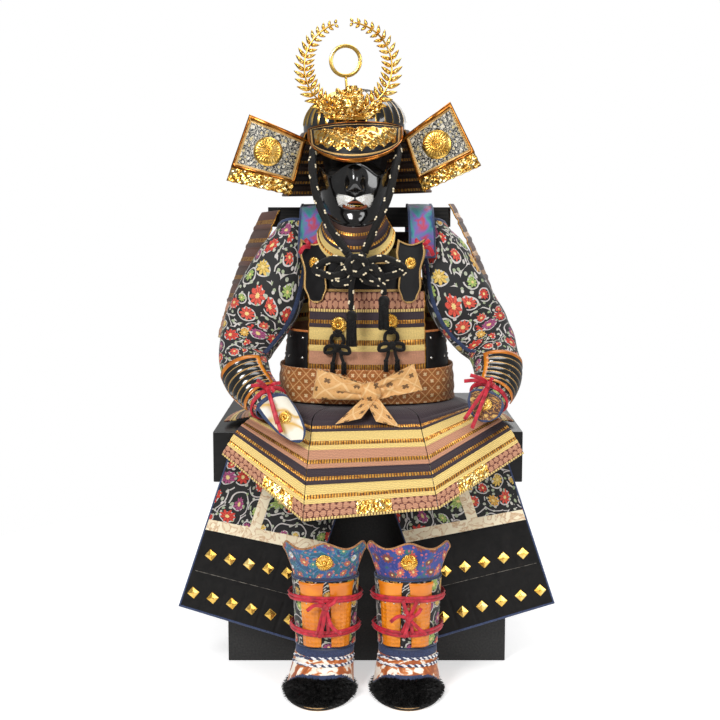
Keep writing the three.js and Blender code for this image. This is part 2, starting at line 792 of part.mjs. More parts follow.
function sleeveSurface(sections) {
  const centre = along(sections.map((s) => [s.x, s.y, s.z]));
  const size = along(sections.map((s) => [s.wide, s.deep, 0]));
  return (u, v) => {
    const c = centre(v);
    const s = size(v);
    const heading = centre(Math.min(v + 0.01, 1)).sub(centre(Math.max(v - 0.01, 0))).normalize();
    const wide = vec(1, 0, 0).addScaledVector(heading, -heading.x).normalize();
    const deep = heading.clone().cross(wide).normalize();
    const angle = 2 * Math.PI * u;
    const p = c.clone().addScaledVector(wide, s.x * Math.sin(angle)).addScaledVector(deep, s.y * Math.cos(angle));
    const level = 1 - blend(v, 0, 0.14);
    p.z = mix(p.z, c.z, level) + 20 * Math.max(0, Math.cos(angle)) * level;
    return p;
  };
}
const SLEEVE_SIDES = 10;
const SLEEVE_STEPS = [0, 0.07, 0.14, 0.28, 0.42, 0.55, 0.66, 0.78, 0.9, 1];
const sleeveAt = {};
for (const [name, sections] of Object.entries(SLEEVES)) {
  const at = sleeveSurface(sections);
  sleeveAt[name] = at;
  piece(
    `sleeve_${name}`,
    wall({ at, us: ringSteps(SLEEVE_SIDES), vs: SLEEVE_STEPS, thick: SLEEVE, ring: true }),
    "brocade"
  );
}

// Forearm plates, hand guards and wrist ties
const HANDS = {
  left: { first: -3, tip: [-136, -346, 480], half: 13, knotX: -6 },
  right: { first: -1, tip: [232, -352, 522], half: 14, knotX: -26 },
};
for (const [name, hand] of Object.entries(HANDS)) {
  const arm = over(sleeveAt[name], SLEEVE + 0.5);
  const side = (i) => (hand.first + i) / SLEEVE_SIDES;
  const plateAt = (u, v) => arm(mix(side(0), side(4), u), mix(0.66, 0.9, v));
  piece(`forearm_plate_${name}`, wall({ at: plateAt, us: even(4), vs: even(2), thick: 2 }), "orangeLacquer");

  const tip = vec(...hand.tip);
  const guardAt = (u, v) => {
    const s = mix(-1, 1, u);
    const root = arm((2 * s) / SLEEVE_SIDES, 1);
    const end = tip.clone().add(vec(s * hand.half, 0, -5 * s * s));
    const belly = vec(s * 7, 0, 3).multiplyScalar(Math.sin(Math.PI * v));
    return root.lerp(end, v).add(belly);
  };
  const guard = wall({ at: guardAt, us: even(4), vs: even(3), thick: 2 });
  piece(`hand_guard_${name}`, join(guard, seated(boss(10, 5, 6), guardAt, 0.5, 0.45, 1.2)), "ivory");

  const bandAt = (u, v) => arm(u, mix(0.925, 0.965, v));
  const band = wall({ at: bandAt, us: ringSteps(SLEEVE_SIDES), vs: [0, 1], thick: 2, ring: true });
  const knot = bandAt(0, 0.5).addScaledVector(outward(bandAt, 0, 0.5), 2.5);
  const ribbon = (dx, dy, dz) =>
    strand(
      [
        [knot.x, knot.y, knot.z],
        [knot.x + dx * 0.5, knot.y + dy * 0.5 - 6, knot.z + dz * 0.3 + 4],
        [knot.x + dx, knot.y + dy, knot.z + dz],
      ],
      7,
      3,
      6,
      4
    );
  piece(
    `wrist_tie_${name}`,
    join(band, ribbon(hand.knotX - 24, -14, 10), ribbon(hand.knotX + 30, -10, 12), ribbon(hand.knotX, -30, -14)),
    "crimson"
  );
}

// Shoulder guards: broad laced rows hanging from the ends of the stand's bar
const SHOULDER_GUARDS = [
  {
    name: "left",
    topA: [-225, -26, 930],
    topB: [-182, -102, 935],
    lowA: [-322, 16, 652],
    lowB: [-262, -100, 656],
  },
  {
    name: "right",
    topA: [172, -98, 948],
    topB: [190, 24, 948],
    lowA: [274, -96, 660],
    lowB: [298, 24, 658],
  },
];
for (const row of SHOULDER_GUARDS) {
  const guardRows = rows(7, 0, 1, 3);
  const at = (u, v) => {
    const p = vec(...row.topA).lerp(vec(...row.topB), u).lerp(vec(...row.lowA).lerp(vec(...row.lowB), u), v);
    const n = vec(row.name === "left" ? -0.8 : 1, row.name === "left" ? -0.5 : 0, 0.1);
    return p.addScaledVector(n, 10 * Math.sin(Math.PI * u) * v + 14 * Math.sin(Math.PI * v * 0.9));
  };
  piece(
    `shoulder_guard_${row.name}`,
    wall({ at, us: even(4), vs: guardRows.vs, thick: 2.5, relief: guardRows.relief }),
    "brownLacquer"
  );
}

// Sash round the waist and its flat bow
const sashOff = PLATE + ROW_LIP + 3;
piece(
  "sash_band",
  wall({
    at: (u, v) => torso(2 * Math.PI * u, mix(SASH.high, SASH.low, v), sashOff),
    us: ringSteps(28),
    vs: even(1),
    ring: true,
  }),
  "sash"
);
const BOW = { x: 8, y: -256, z: 566 };
function bowLoop(dx, dz, narrow, broad) {
  const length = Math.hypot(dx, dz);
  const turn = Math.atan2(dz, dx);
  const at = (u, v) => {
    const angle = 2 * Math.PI * u;
    const s = (1 - Math.cos(angle)) / 2;
    const fat = 9 * Math.sin(angle) * Math.sqrt(Math.sin(Math.PI * Math.min(0.08 + s * 0.92, 0.98)));
    const height = mix(narrow, broad, s) * (v - 0.5);
    const px = 6 + s * (length - 6);
    return vec(
      BOW.x + px * Math.cos(turn) - height * Math.sin(turn),
      BOW.y - fat,
      BOW.z + px * Math.sin(turn) + height * Math.cos(turn)
    );
  };
  return wall({ at, us: ringSteps(10), vs: [0, 1], thick: 2, ring: true });
}
function bowTail(dx, dz, wide) {
  const at = (u, v) => {
    const s = mix(-1, 1, u);
    const x = BOW.x + dx * v + s * mix(13, wide, v);
    return vec(x, BOW.y - 6 - 41 * Math.sin(v * 1.5), BOW.z - 8 + dz * v - 6 * s * Math.sign(dx) * v);
  };
  return wall({ at, us: even(2), vs: even(3), thick: 2.4 });
}
piece(
  "sash_bow",
  join(
    new THREE.SphereGeometry(1, 8, 6).rotateX(Math.PI / 2).scale(20, 15.2, 24).translate(BOW.x, BOW.y, BOW.z),
    bowLoop(-112, 20, 30, 62),
    bowLoop(98, 34, 30, 58),
    bowTail(-46, -42, 26),
    bowTail(34, -48, 24)
  ),
  "ivory"
);

// Chest rosettes, each with a black cord bow, made upright and then turned to face out of the plate
for (const [name, angle, z] of [["left", -24, 704], ["right", 20, 710]]) {
  const turn = rad(angle);
  const bow = (points, steps) => strand(points, 7, 7, 4, steps);
  const loop = (dx) =>
    bow([[0, -6, -16], [dx, -9, -18], [dx * 1.05, -7, -42], [dx * 0.2, -8, -30]], 5);
  const end = (dx) => bow([[0, -6, -16], [dx, -9, -60], [dx * 1.6, -8, -84]], 3);
  const knot = new THREE.SphereGeometry(9, 6, 5).scale(1.2, 0.7, 1).translate(0, -7, -17);
  const whole = join(boss(15, 9), knot, loop(-26), loop(26), end(-7), end(9));
  const seat = torso(turn, z, PLATE + ROW_LIP + 0.9);
  piece(`chest_bow_${name}`, whole.rotateZ(turn * 0.8).translate(seat.x, seat.y, seat.z), "cord");
}

// Skirt: laced panels that hang from the waist, over the lid's front edge or flat on the lid
const WAIST_Z = BODY.low - SEAM;
const FOLDS = {
  frontLeft: { angle: -27, path: [[-104, -268, 524], [-113, -318, 478], [-120, -362, 412], [-125, -400, 334]] },
  frontRight: { angle: 25, path: [[98, -268, 526], [112, -318, 484], [126, -362, 424], [138, -400, 358]] },
  sideLeft: { angle: -74, path: [[-196, -196, 532], [-230, -254, 518], [-262, -304, 496], [-289, -330, 453]] },
  sideRight: { angle: 74, path: [[200, -196, 534], [240, -254, 528], [282, -304, 506], [312, -330, 455]] },
  lidLeft: { angle: -76, path: [[-204, -164, 522], [-236, -184, 506], [-268, -196, 499], [-296, -202, 494]] },
  lidRight: { angle: 76, path: [[204, -164, 522], [240, -184, 506], [276, -196, 499], [306, -202, 494]] },
  backLeft: { angle: -179, path: [[-2, 42, 522], [-2, 84, 503], [-2, 130, 498], [-2, 176, 494]] },
  backRight: { angle: 179, path: [[2, 42, 522], [2, 84, 503], [2, 130, 498], [2, 176, 494]] },
};
function foldLine(fold) {
  const waist = torso(rad(fold.angle), WAIST_Z);
  const hip = torso(rad(fold.angle), SASH.low - 3);
  return along([waist.toArray(), hip.toArray(), ...fold.path]);
}
function skirtPanel(name, left, right, columns, bulge) {
  const [a, b] = [FOLDS[left], FOLDS[right]];
  const [lineA, lineB] = [foldLine(a), foldLine(b)];
  const gap = 0.002;
  const at = (u, v) => {
    const s = mix(gap, 1 - gap, u);
    const flatPoint = lineA(v).lerp(lineB(v), s);
    const z = flatPoint.z;
    const round = torso(rad(mix(a.angle, b.angle, s)), z);
    const free = blend(v, SKIRT.waist, 0.45);
    round.lerp(flatPoint, free);
    if (bulge) {
      const middle = torso(rad(mix(a.angle, b.angle, s)), z).sub(vec(BODY.x, BODY.y, z)).normalize();
      round.addScaledVector(middle, bulge * Math.sin(Math.PI * s) * free);
    }
    return round;
  };
  const panelRows = rows(SKIRT.rows, SKIRT.waist, 1, SKIRT.lip);
  piece(
    name,
    wall({ at, us: even(columns), vs: panelRows.vs, thick: SKIRT.thick, relief: panelRows.relief }),
    "lacing"
  );
}
skirtPanel("skirt_front", "frontLeft", "frontRight", 5, 0);
skirtPanel("skirt_front_left", "sideLeft", "frontLeft", 4, 0);
skirtPanel("skirt_front_right", "frontRight", "sideRight", 4, 0);
skirtPanel("skirt_back_left", "backLeft", "lidLeft", 5, 90);
skirtPanel("skirt_back_right", "lidRight", "backRight", 5, 90);

// Thigh guards: an apron in two halves that lies on the lid, bends over its edge and hangs
const THIGHS = [
  {
    name: "left",
    outer: [[-258, -240, 490.6], [-264, -275.8, 490.6], [-268, -277.6, 484], [-290, -281, 415], [-381, -294, 145]],
    inner: [[-6, -240, 490.6], [-6, -275.8, 490.6], [-7, -277.6, 484], [-40, -281, 380], [-143, -290, 68]],
  },
  {
    name: "right",
    outer: [[262, -240, 490.6], [268, -275.8, 490.6], [272, -277.6, 484], [292, -281, 415], [378, -294, 154]],
    inner: [[-4, -240, 490.6], [-4, -275.8, 490.6], [-3, -277.6, 484], [36, -281, 380], [142, -290, 76]],
  },
];
const STUDS = [
  { v: 0.9, from: 0.12, to: 0.76, count: 5 },
  { v: 0.97, from: 0.08, to: 0.9, count: 6 },
];
for (const row of THIGHS) {
  const left = row.name === "left";
  const [lineA, lineB] = left ? [bent(row.outer), bent(row.inner)] : [bent(row.inner), bent(row.outer)];
  const at = (u, v) => lineA(v).lerp(lineB(v), u);
  const panel = wall({ at, us: even(3), vs: even(4), thick: 2.5 });
  const studs = [];
  for (const line of STUDS) {
    for (const s of even(line.count - 1, line.from, line.to)) {
      const u = left ? s : 1 - s;
      const stud = new THREE.ConeGeometry(11, 5, 4).rotateX(Math.PI);
      studs.push(seated(stud, at, u, line.v, 4.4));
    }
  }
  piece(`thigh_guard_${row.name}`, join(panel, ...studs), "brocade");
}

// Legs: shoes, shin guards with two splints, knee flaps and ribbon ties
const LEGS = [
  { name: "left", shoe: -94, shin: -83, splints: [[-64, -15], [-5, 52]] },
  { name: "right", shoe: 77, shin: 81, splints: [[-64, -8], [-3, 56]] },
];
const SHIN = { y: -365, wide: [57, 64], deep: [48, 52], thick: 2.5, turn: 150 };
const SPLINT = { gap: 0.6, bow: 4, thick: 2 };
const TIE = { gap: 2.6, half: 4, thick: 2, heights: [184, 118] };
const SHOE = { half: 66, thick: 3, sole: 6 };
const KNEE = { wide: [64, 84], deep: [52, 66], top: 296 };
for (const leg of LEGS) {
  const shinAt = (u, v) => {
    const angle = rad(mix(-SHIN.turn, SHIN.turn, u));
    const z = mix(LEG.shinHigh, LEG.shinLow, v);
    const a = mix(SHIN.wide[1], SHIN.wide[0], v);
    const b = mix(SHIN.deep[1], SHIN.deep[0], v);
    return vec(leg.shin + a * Math.sin(angle), SHIN.y - b * Math.cos(angle), z);
  };
  piece(
    `shin_guard_${leg.name}`,
    wall({ at: shinAt, us: even(14), vs: even(1), thick: SHIN.thick }),
    "teal"
  );

  leg.splints.forEach(([from, to], i) => {
    const cover = over(shinAt, SHIN.thick + SPLINT.gap);
    const at = (u, v) => {
      const span = (angle) => (angle + SHIN.turn) / (2 * SHIN.turn);
      const p = cover(span(mix(from, to, u)), mix(0.03, 0.97, v));
      const n = outward(cover, span(mix(from, to, u)), 0.5);
      return p.addScaledVector(n, SPLINT.bow * Math.sin(Math.PI * THREE.MathUtils.clamp(u, 0, 1)));
    };
    const splint = wall({ at, us: even(5), vs: even(1), thick: SPLINT.thick });
    piece(`shin_splint_${leg.name}_${i + 1}`, splint, "orangeLacquer");
  });

  const kneeAt = (u, v) => {
    const s = mix(-1, 1, u);
    const angle = rad(66 * s);
    const lobes = KNEE.top - 14 * Math.pow(Math.sin(1.5 * Math.PI * s), 2) - 4 * Math.abs(s);
    const z = mix(lobes, LEG.kneeLow, v);
    const a = mix(KNEE.wide[1], KNEE.wide[0], v);
    const b = mix(KNEE.deep[1], KNEE.deep[0], v);
    return vec(leg.shin + a * Math.sin(angle), SHIN.y - b * Math.cos(angle), z);
  };
  const flap = wall({ at: kneeAt, us: even(12), vs: even(2), thick: 2.5 });
  piece(`knee_flap_${leg.name}`, join(flap, seated(boss(14, 7), kneeAt, 0.5, 0.52, 1.6)), "teal");

  const tieAt = (z) => (u, v) => {
    const angle = 2 * Math.PI * u;
    const t = (z - LEG.shinLow) / (LEG.shinHigh - LEG.shinLow);
    const grow = SHIN.thick + SPLINT.gap + SPLINT.bow + SPLINT.thick + TIE.gap;
    const a = mix(...SHIN.wide, t) + grow;
    const b = mix(...SHIN.deep, t) + grow;
    return vec(leg.shin + a * Math.sin(angle), SHIN.y - b * Math.cos(angle), mix(z + TIE.half, z - TIE.half, v));
  };
  const tie = (z) => wall({ at: tieAt(z), us: ringSteps(12), vs: [0, 1], thick: TIE.thick, ring: true });
  const [upperTie, lowerTie] = TIE.heights;
  const front = SHIN.y - SHIN.deep[1] - 9;
  const crossPoint = [leg.shin + 2, front - 5, 150];
  const crossing = strand(
    [
      [leg.shin - 12, front - 2, upperTie],
      crossPoint,
      [leg.shin + 8, front, lowerTie],
    ],
    7,
    4,
    6,
    4
  );
  const tail = (dx, dz) =>
    strand(
      [crossPoint, [leg.shin + dx, front - 8, crossPoint[2] + dz], [leg.shin + dx * 1.6, front - 8, lowerTie + dz]],
      7,
      3,
      6,
      4
    );
  piece(`shin_tie_${leg.name}`, join(tie(upperTie), tie(lowerTie), crossing, tail(-22, 6), tail(24, 2)), "crimson");

  const soleMiddle = (LEG.soleFront + LEG.soleBack) / 2;
  const soleHalf = (LEG.soleBack - LEG.soleFront) / 2;
  const shoeAt = (u, v) => {
    const angle = 2 * Math.PI * u;
    const drop = Math.pow(Math.max(v, 0), 0.72);
    const cx = mix(leg.shin, leg.shoe, v);
    const cy = mix(SHIN.y, soleMiddle, drop);
    const a = mix(SHIN.wide[0], SHOE.half, Math.sin((v * Math.PI) / 2));
    const b = mix(SHIN.deep[0], soleHalf - 3, drop);
    const z = mix(LEG.collar, 0, v);
    return vec(cx + a * Math.sin(angle), cy - b * Math.cos(angle), z);
  };
  const sole = new THREE.LatheGeometry(
    [[0, 0], [1, 0], [1, 1], [0, 1]].map(([r, y]) => new THREE.Vector2(r, y)),
    16
  )
    .rotateX(Math.PI / 2)
    .scale(SHOE.half, soleHalf - 2, SHOE.sole)
    .translate(leg.shoe, soleMiddle, 0);
  const upper = wall({ at: shoeAt, us: ringSteps(16), vs: [0, 0.25, 0.6, 1], thick: SHOE.thick, ring: true });
  piece(`shoe_${leg.name}`, join(upper, sole), "fur");
}

export default armour;
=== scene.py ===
"""Samurai armour set up on its storage chest: the finish of each piece, in the order of assembly."""

import math
import random
from math import cos, exp, hypot, pi, radians, sin, sqrt

import bmesh
import bpy
from mathutils import Matrix, Vector


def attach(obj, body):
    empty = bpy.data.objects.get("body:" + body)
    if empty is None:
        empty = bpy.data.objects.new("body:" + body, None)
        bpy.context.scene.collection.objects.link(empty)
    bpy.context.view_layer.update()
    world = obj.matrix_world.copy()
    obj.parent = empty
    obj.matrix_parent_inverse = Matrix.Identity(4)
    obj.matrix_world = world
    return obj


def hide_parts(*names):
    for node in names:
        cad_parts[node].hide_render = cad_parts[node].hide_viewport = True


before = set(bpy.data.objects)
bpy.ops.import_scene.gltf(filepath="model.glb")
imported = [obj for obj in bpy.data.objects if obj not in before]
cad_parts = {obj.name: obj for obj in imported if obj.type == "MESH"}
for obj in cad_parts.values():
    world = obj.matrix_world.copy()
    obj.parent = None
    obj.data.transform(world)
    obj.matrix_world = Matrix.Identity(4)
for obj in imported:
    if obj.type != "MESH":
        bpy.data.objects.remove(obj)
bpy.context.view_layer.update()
MM = 0.001
scene = bpy.context.scene


# Camera: stands in front of the suit at chest height and looks slightly down, as in the photograph.
eye = bpy.data.cameras.new("eye")
eye.lens = 64.65
eye.sensor_width = 36
camera = bpy.data.objects.new("camera", eye)
camera.location = (-0.014, -2.862, 0.947)
camera.rotation_euler = (radians(90 - 6.84), 0, 0)
scene.collection.objects.link(camera)
scene.camera = camera


# Chin cords: two thick round braids of black silk, with paired gold and white stitches worked into them.
# They come down from the helmet's bowl on both sides of the mask and meet in a large bow under the chin.
def mix(a, b, t):
    return a + (b - a) * t


def clamp(t, low=0.0, high=1.0):
    return max(low, min(high, t))


def ease(t, low, high):
    s = clamp((t - low) / (high - low))
    return s * s * (3 - 2 * s)


def even(count, low=0.0, high=1.0):
    return [mix(low, high, i / count) for i in range(count + 1)]


def along(places):
    """A smooth line through a few places, which is asked for a share from 0 to 1."""
    line = [Vector(p) for p in places]
    line = [line[0] * 2 - line[1], *line, line[-1] * 2 - line[-2]]
    spans = len(places) - 1

    def at(share):
        t = clamp(share) * spans
        i = min(int(t), spans - 1)
        t -= i
        p0, p1, p2, p3 = line[i : i + 4]
        d0, d1, d2 = (max((b - a).length ** 0.5, 1e-3) for a, b in ((p0, p1), (p1, p2), (p2, p3)))
        m1 = ((p1 - p0) / d0 - (p2 - p0) / (d0 + d1) + (p2 - p1) / d1) * d1
        m2 = ((p2 - p1) / d1 - (p3 - p1) / (d1 + d2) + (p3 - p2) / d2) * d1
        return p1 + m1 * t + (p2 * 3 - p1 * 3 - m1 * 2 - m2) * t * t + (p1 * 2 - p2 * 2 + m1 + m2) * t**3

    return at


def linear(code):
    """An sRGB hex colour as a linear one."""
    parts = (int(code[i : i + 2], 16) / 255 for i in (1, 3, 5))
    return (*(c / 12.92 if c <= 0.04045 else ((c + 0.055) / 1.055) ** 2.4 for c in parts), 1.0)


def add(tree, kind, inputs=None, stops=None, **settings):
    """Adds a node with its settings and links, and gives its outputs."""
    node = tree.nodes.new("ShaderNode" + kind)
    for key, value in settings.items():
        setattr(node, key, value)
    for key, value in (inputs or {}).items():
        if isinstance(value, bpy.types.bpy_prop_collection):
            value = value[0]
        if isinstance(value, bpy.types.NodeSocket):
            tree.links.new(value, node.inputs[key])
        else:
            node.inputs[key].default_value = linear(value) if isinstance(value, str) else value
    if stops:
        elements = node.color_ramp.elements
        while len(elements) < len(stops):
            elements.new(0.5)
        for element, (place, colour) in zip(elements, stops):
            element.position = place
            element.color = linear(colour) if isinstance(colour, str) else (colour, colour, colour, 1)
    return node.outputs


def finish(name, **surface):
    """A new finish: its tree and shader, with the shader's own numbers set."""
    material = bpy.data.materials.new(name)
    material.use_nodes = True
    shader = material.node_tree.nodes["Principled BSDF"]
    for key, value in surface.items():
        socket = shader.inputs[key.replace("_", " ").title().replace("Ior", "IOR")]
        socket.default_value = linear(value) if isinstance(value, str) else value
    return material, material.node_tree, shader


def dress(tree, shader, height=None, depth=0.4, reach=0.001, **sockets):
    """Links patterns to a shader's sockets, and a height pattern to its normal."""
    for key, value in sockets.items():
        tree.links.new(value[0], shader.inputs[key.replace("_", " ").title()])
    if height is not None:
        bump = add(tree, "Bump", {"Height": height, "Strength": depth, "Distance": reach})
        tree.links.new(bump[0], shader.inputs["Normal"])


def place(bm, name, finishes, stands_for=(), slot=None, smooth=True):
    """Makes a finished piece from a bmesh in metres, which rides on the suit's one body."""
    for face in bm.faces:
        face.smooth = smooth
    mesh = bpy.data.meshes.new(name)
    bm.to_mesh(mesh)
    bm.free()
    for material in finishes:
        mesh.materials.append(material)
    piece = bpy.data.objects.new(name, mesh)
    scene.collection.objects.link(piece)
    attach(piece, "root")
    if stands_for:
        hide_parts(*stands_for)
    return piece


# Braided silk: matt black, with a plait whose lit side shows as fine slanting bars
braid_black, tree, shader = finish(
    "braided_black_silk", roughness=0.62, sheen_weight=0.1, sheen_roughness=0.4, specular_ior_level=0.3
)
spot = add(tree, "TexCoord")["Object"]
plait = add(tree, "TexWave", {"Vector": spot, "Scale": 210, "Distortion": 2.5}, bands_direction="DIAGONAL")
fleck = add(tree, "TexNoise", {"Vector": spot, "Scale": 900})
shade = add(tree, "ValToRGB", {"Fac": plait}, stops=[(0.2, "#020202"), (0.9, "#161311")])
dress(tree, shader, add(tree, "Math", {0: plait, 1: fleck}, operation="ADD"), 0.7, 0.001, base_color=shade)

# White and gold stitches: thick shiny silk
stitch_white, tree, shader = finish("stitch_silk", roughness=0.4, sheen_weight=0.3)
spot = add(tree, "TexCoord")["Object"]
thread = add(tree, "TexWave", {"Vector": spot, "Scale": 500, "Distortion": 1.0})
shade = add(tree, "ValToRGB", {"Fac": thread}, stops=[(0.1, "#e6c98a"), (0.6, "#fbf3dc")])
dress(tree, shader, thread, 0.3, 0.0005, base_color=shade)

CORD = 0.016
CORD_STEPS = 32
CHIN_ROUTES = {
    "left": [
        (-0.108, -0.160, 1.0683),
        (-0.110, -0.196, 1.050),
        (-0.110, -0.220, 1.018),
        (-0.100, -0.243, 0.960),
        (-0.076, -0.258, 0.905),
        (-0.0391, -0.2718, 0.8512),
    ],
    "right": [
        (0.060, -0.160, 1.0728),
        (0.064, -0.196, 1.056),
        (0.056, -0.223, 1.016),
        (0.042, -0.246, 0.960),
        (0.022, -0.262, 0.915),
        (-0.0054, -0.2722, 0.8521),
    ],
}


def frame_on(heading, facing=Vector((0, -1, 0))):
    """Two directions across a cord: sideways, and out towards the side that it faces."""
    across = heading.cross(facing)
    if across.length < 0.05:
        across = heading.cross(Vector((0, 0, 1)))
    across.normalize()
    return across, across.cross(heading).normalized()


def facing(direction, spot):
    """A place and turn that puts a shape's +Z along direction, from a point in millimetres."""
    return Matrix.Translation(Vector(spot) * MM) @ direction.to_track_quat("Z", "Y").to_matrix().to_4x4()


def bead(bm, seat, radii, fine=2):
    """Adds a small ball at a point or on a placed seat, with its three radii. All are in millimetres."""
    if not isinstance(seat, Matrix):
        seat = Matrix.Translation(Vector(seat) * MM)
    shape = seat @ Matrix.Diagonal((*(r * MM for r in radii), 1))
    bmesh.ops.create_icosphere(bm, subdivisions=fine, radius=1, matrix=shape)


def length_of(line, steps):
    return sum((line((i + 1) / steps) - line(i / steps)).length for i in range(steps))


def stitches(bm, line, radius, pitch, seed):
    """Pairs of small stitches on the outside of a cord, at each pitch along it, all in metres."""
    rng = random.Random(seed)
    count = max(2, int(length_of(line, 40) / pitch))
    for i in range(count):
        share = (i + 0.5) / count
        heading = (line(min(share + 0.01, 1)) - line(max(share - 0.01, 0))).normalized()
        across, out = frame_on(heading)
        for pair in (-1, 1):
            turn = (0.9 if i % 2 else -0.9) + rng.uniform(-0.25, 0.25)
            direction = (across * sin(turn) + out * cos(turn)).normalized()
            spot = line(share) + direction * radius + heading * pair * radius * 0.3
            bead(bm, facing(direction, spot / MM), (2.7, 2.4, 1.3))


beads = bmesh.new()
for side, route in CHIN_ROUTES.items():
    line = along(route)
    curve = bpy.data.curves.new(f"chin_cord_{side}_braid", "CURVE")
    curve.dimensions = "3D"
    curve.bevel_depth = CORD / 2
    curve.bevel_resolution = 5
    curve.use_fill_caps = True
    spline = curve.splines.new("POLY")
    spline.points.add(CORD_STEPS)
    for point, share in zip(spline.points, even(CORD_STEPS)):
        point.co = (*line(share), 1)
    curve.materials.append(braid_black)
    cord = bpy.data.objects.new(f"chin_cord_{side}_braid", curve)
    scene.collection.objects.link(cord)
    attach(cord, "root")
    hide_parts(f"chin_cord_{side}")
    run = length_of(line, CORD_STEPS)
    stitches(beads, line, CORD / 2, 0.021, 3)


# Chin bow: the two cords are tied in a flat flower knot with four loops, and their ends hang in two tassels.
def twine(bm, path, wide, deep=None, sides=10, facing=Vector((0, -1, 0)), steps=None):
    """Adds a cord, or a ribbon where it is wider than deep, along a path in millimetres."""
    line = along(path)
    steps = steps or 6 * (len(path) - 1)
    deep = deep or wide
    skin = []
    before = None
    first = None
    for share in even(steps):
        heading = (line(min(share + 0.01, 1)) - line(max(share - 0.01, 0))).normalized()
        across, out = frame_on(heading, facing)
        basis = Matrix((across, out, heading)).transposed().to_4x4()
        section = Matrix.Diagonal((wide / 2 * MM, deep / 2 * MM, 1, 1))
        shape = Matrix.Translation(line(share) * MM) @ basis @ section
        ring = bmesh.ops.create_circle(bm, cap_ends=False, segments=sides, radius=1, matrix=shape)["verts"]
        edges = list({e for v in ring for e in v.link_edges})
        if before:
            skin += bmesh.ops.bridge_loops(bm, edges=before + edges)["faces"]
        first = first or edges
        before = edges
    skin += bmesh.ops.holes_fill(bm, edges=first + before, sides=sides)["faces"]
    bmesh.ops.recalc_face_normals(bm, faces=skin)


def join(bm, part):
    """Moves what is in one bmesh into another; many small shapes are quicker to make in small ones."""
    carried = bpy.data.meshes.new("carried")
    part.to_mesh(carried)
    part.free()
    bm.from_mesh(carried)
    bpy.data.meshes.remove(carried)


def in_metres(path):
    return along([Vector(p) * MM for p in path])


KNOT = Vector((-20, -276, 827))
STUBS = [(-38.4, -272, 850), (-6, -272.4, 851)]
TAILS = [
    [KNOT, (-30, -280, 795), (-32, -278, 756), (-31, -276, 738)],
    [KNOT, (8, -280, 802), (32, -278, 786), (34, -276, 768)],
]
LOOPS = [(-84, -8, 0.2), (94, -8, 0.2), (-44, -34, 0.26), (50, -32, 0.26)]
WRAPS = 3
bow = bmesh.new()
for dx, dz, spread in LOOPS:
    reach, aside = Vector((dx, 0, dz)), Vector((-dz * spread, -3, dx * spread))
    out, back = KNOT + reach * 0.55 + aside, KNOT + reach * 0.55 - aside
    path = [KNOT, out, KNOT + reach, back, KNOT + Vector((1, 1, -1))]
    twine(bow, path, 16, steps=28)
    stitches(beads, in_metres(path), 0.008, 0.016, 5)
for stub in STUBS:
    twine(bow, [KNOT, stub], 16, steps=4)
for path in TAILS:
    twine(bow, path, 12, steps=16)
    stitches(beads, in_metres(path), 0.006, 0.018, 7)
for wrap in range(WRAPS):
    start = wrap * 2.1
    path = [
        KNOT + Vector((19 * cos(start + a), -4 - 9 * sin(a * 1.5), 17 * sin(start + a)))
        for a in (0, 0.8, 1.6, 2.4, 3.1)
    ]
    twine(bow, path, 15, steps=16)
    stitches(beads, in_metres(path), 0.0076, 0.013, wrap)
bead(bow, KNOT, (20, 16, 18), 3)
place(bow, "chin_bow", [braid_black], ["chin_knot"], "black_cord")
place(beads, "chin_cord_stitches", [stitch_white], slot="silk_lacing")


# Tassels: a bound head with a skirt of plied silk threads, fused to it.
# The two free ends of the chin cords run into their heads.
def strand(bm, low, high, foot, tip, sides=4, closed=True):
    """Adds one thread or hair between two points, with a radius at each end, all in millimetres."""
    length = (high - low).length * MM
    seat = facing(high - low, (low + high) / 2)
    bmesh.ops.create_cone(
        bm, cap_ends=closed, segments=sides, radius1=foot * MM, radius2=tip * MM, depth=length, matrix=seat
    )


TASSELS = {"left": (-31, -276, 736.4, 72), "right": (34, -276, 766.4, 68)}
TASSEL_HEAD = [(0.5, 0), (5, 0), (8, -2), (11, -6), (12, -10), (10.5, -14), (11.5, -17), (9, -20), (0.5, -20)]
THREADS = 110
GOLDEN_TURN = 2.399963
for side, (x, y, z, length) in TASSELS.items():
    bm = bmesh.new()
    edge = [bm.verts.new(((x + r) * MM, y * MM, (z + h) * MM)) for r, h in TASSEL_HEAD]
    lines = [bm.edges.new(pair) for pair in zip(edge, edge[1:])]
    axis = Vector((x, y, z)) * MM
    turned = {"cent": axis, "axis": (0, 0, 1), "angle": 2 * pi, "steps": 20, "use_merge": True}
    bmesh.ops.spin(bm, geom=edge + lines, **turned)
    bmesh.ops.remove_doubles(bm, verts=bm.verts, dist=1e-5)
    bmesh.ops.holes_fill(bm, edges=bm.edges, sides=30)
    bmesh.ops.recalc_face_normals(bm, faces=bm.faces)
    rng = random.Random(len(side))
    for i in range(THREADS):
        r = 9.5 * sqrt((i + 0.5) / THREADS)
        out = Vector((r * cos(i * GOLDEN_TURN), r * sin(i * GOLDEN_TURN), 0))
        fall = length - 14 - rng.uniform(0, 3)
        foot = 1.12 + rng.uniform(0, 0.06)
        top = Vector((x, y, z - 15))
        strand(bm, top + out, top + out * foot - Vector((0, 0, fall)), 0.85, 0.7, 5)
    place(bm, f"tassel_{side}_silk", [braid_black], [f"tassel_{side}"], "black_cord")


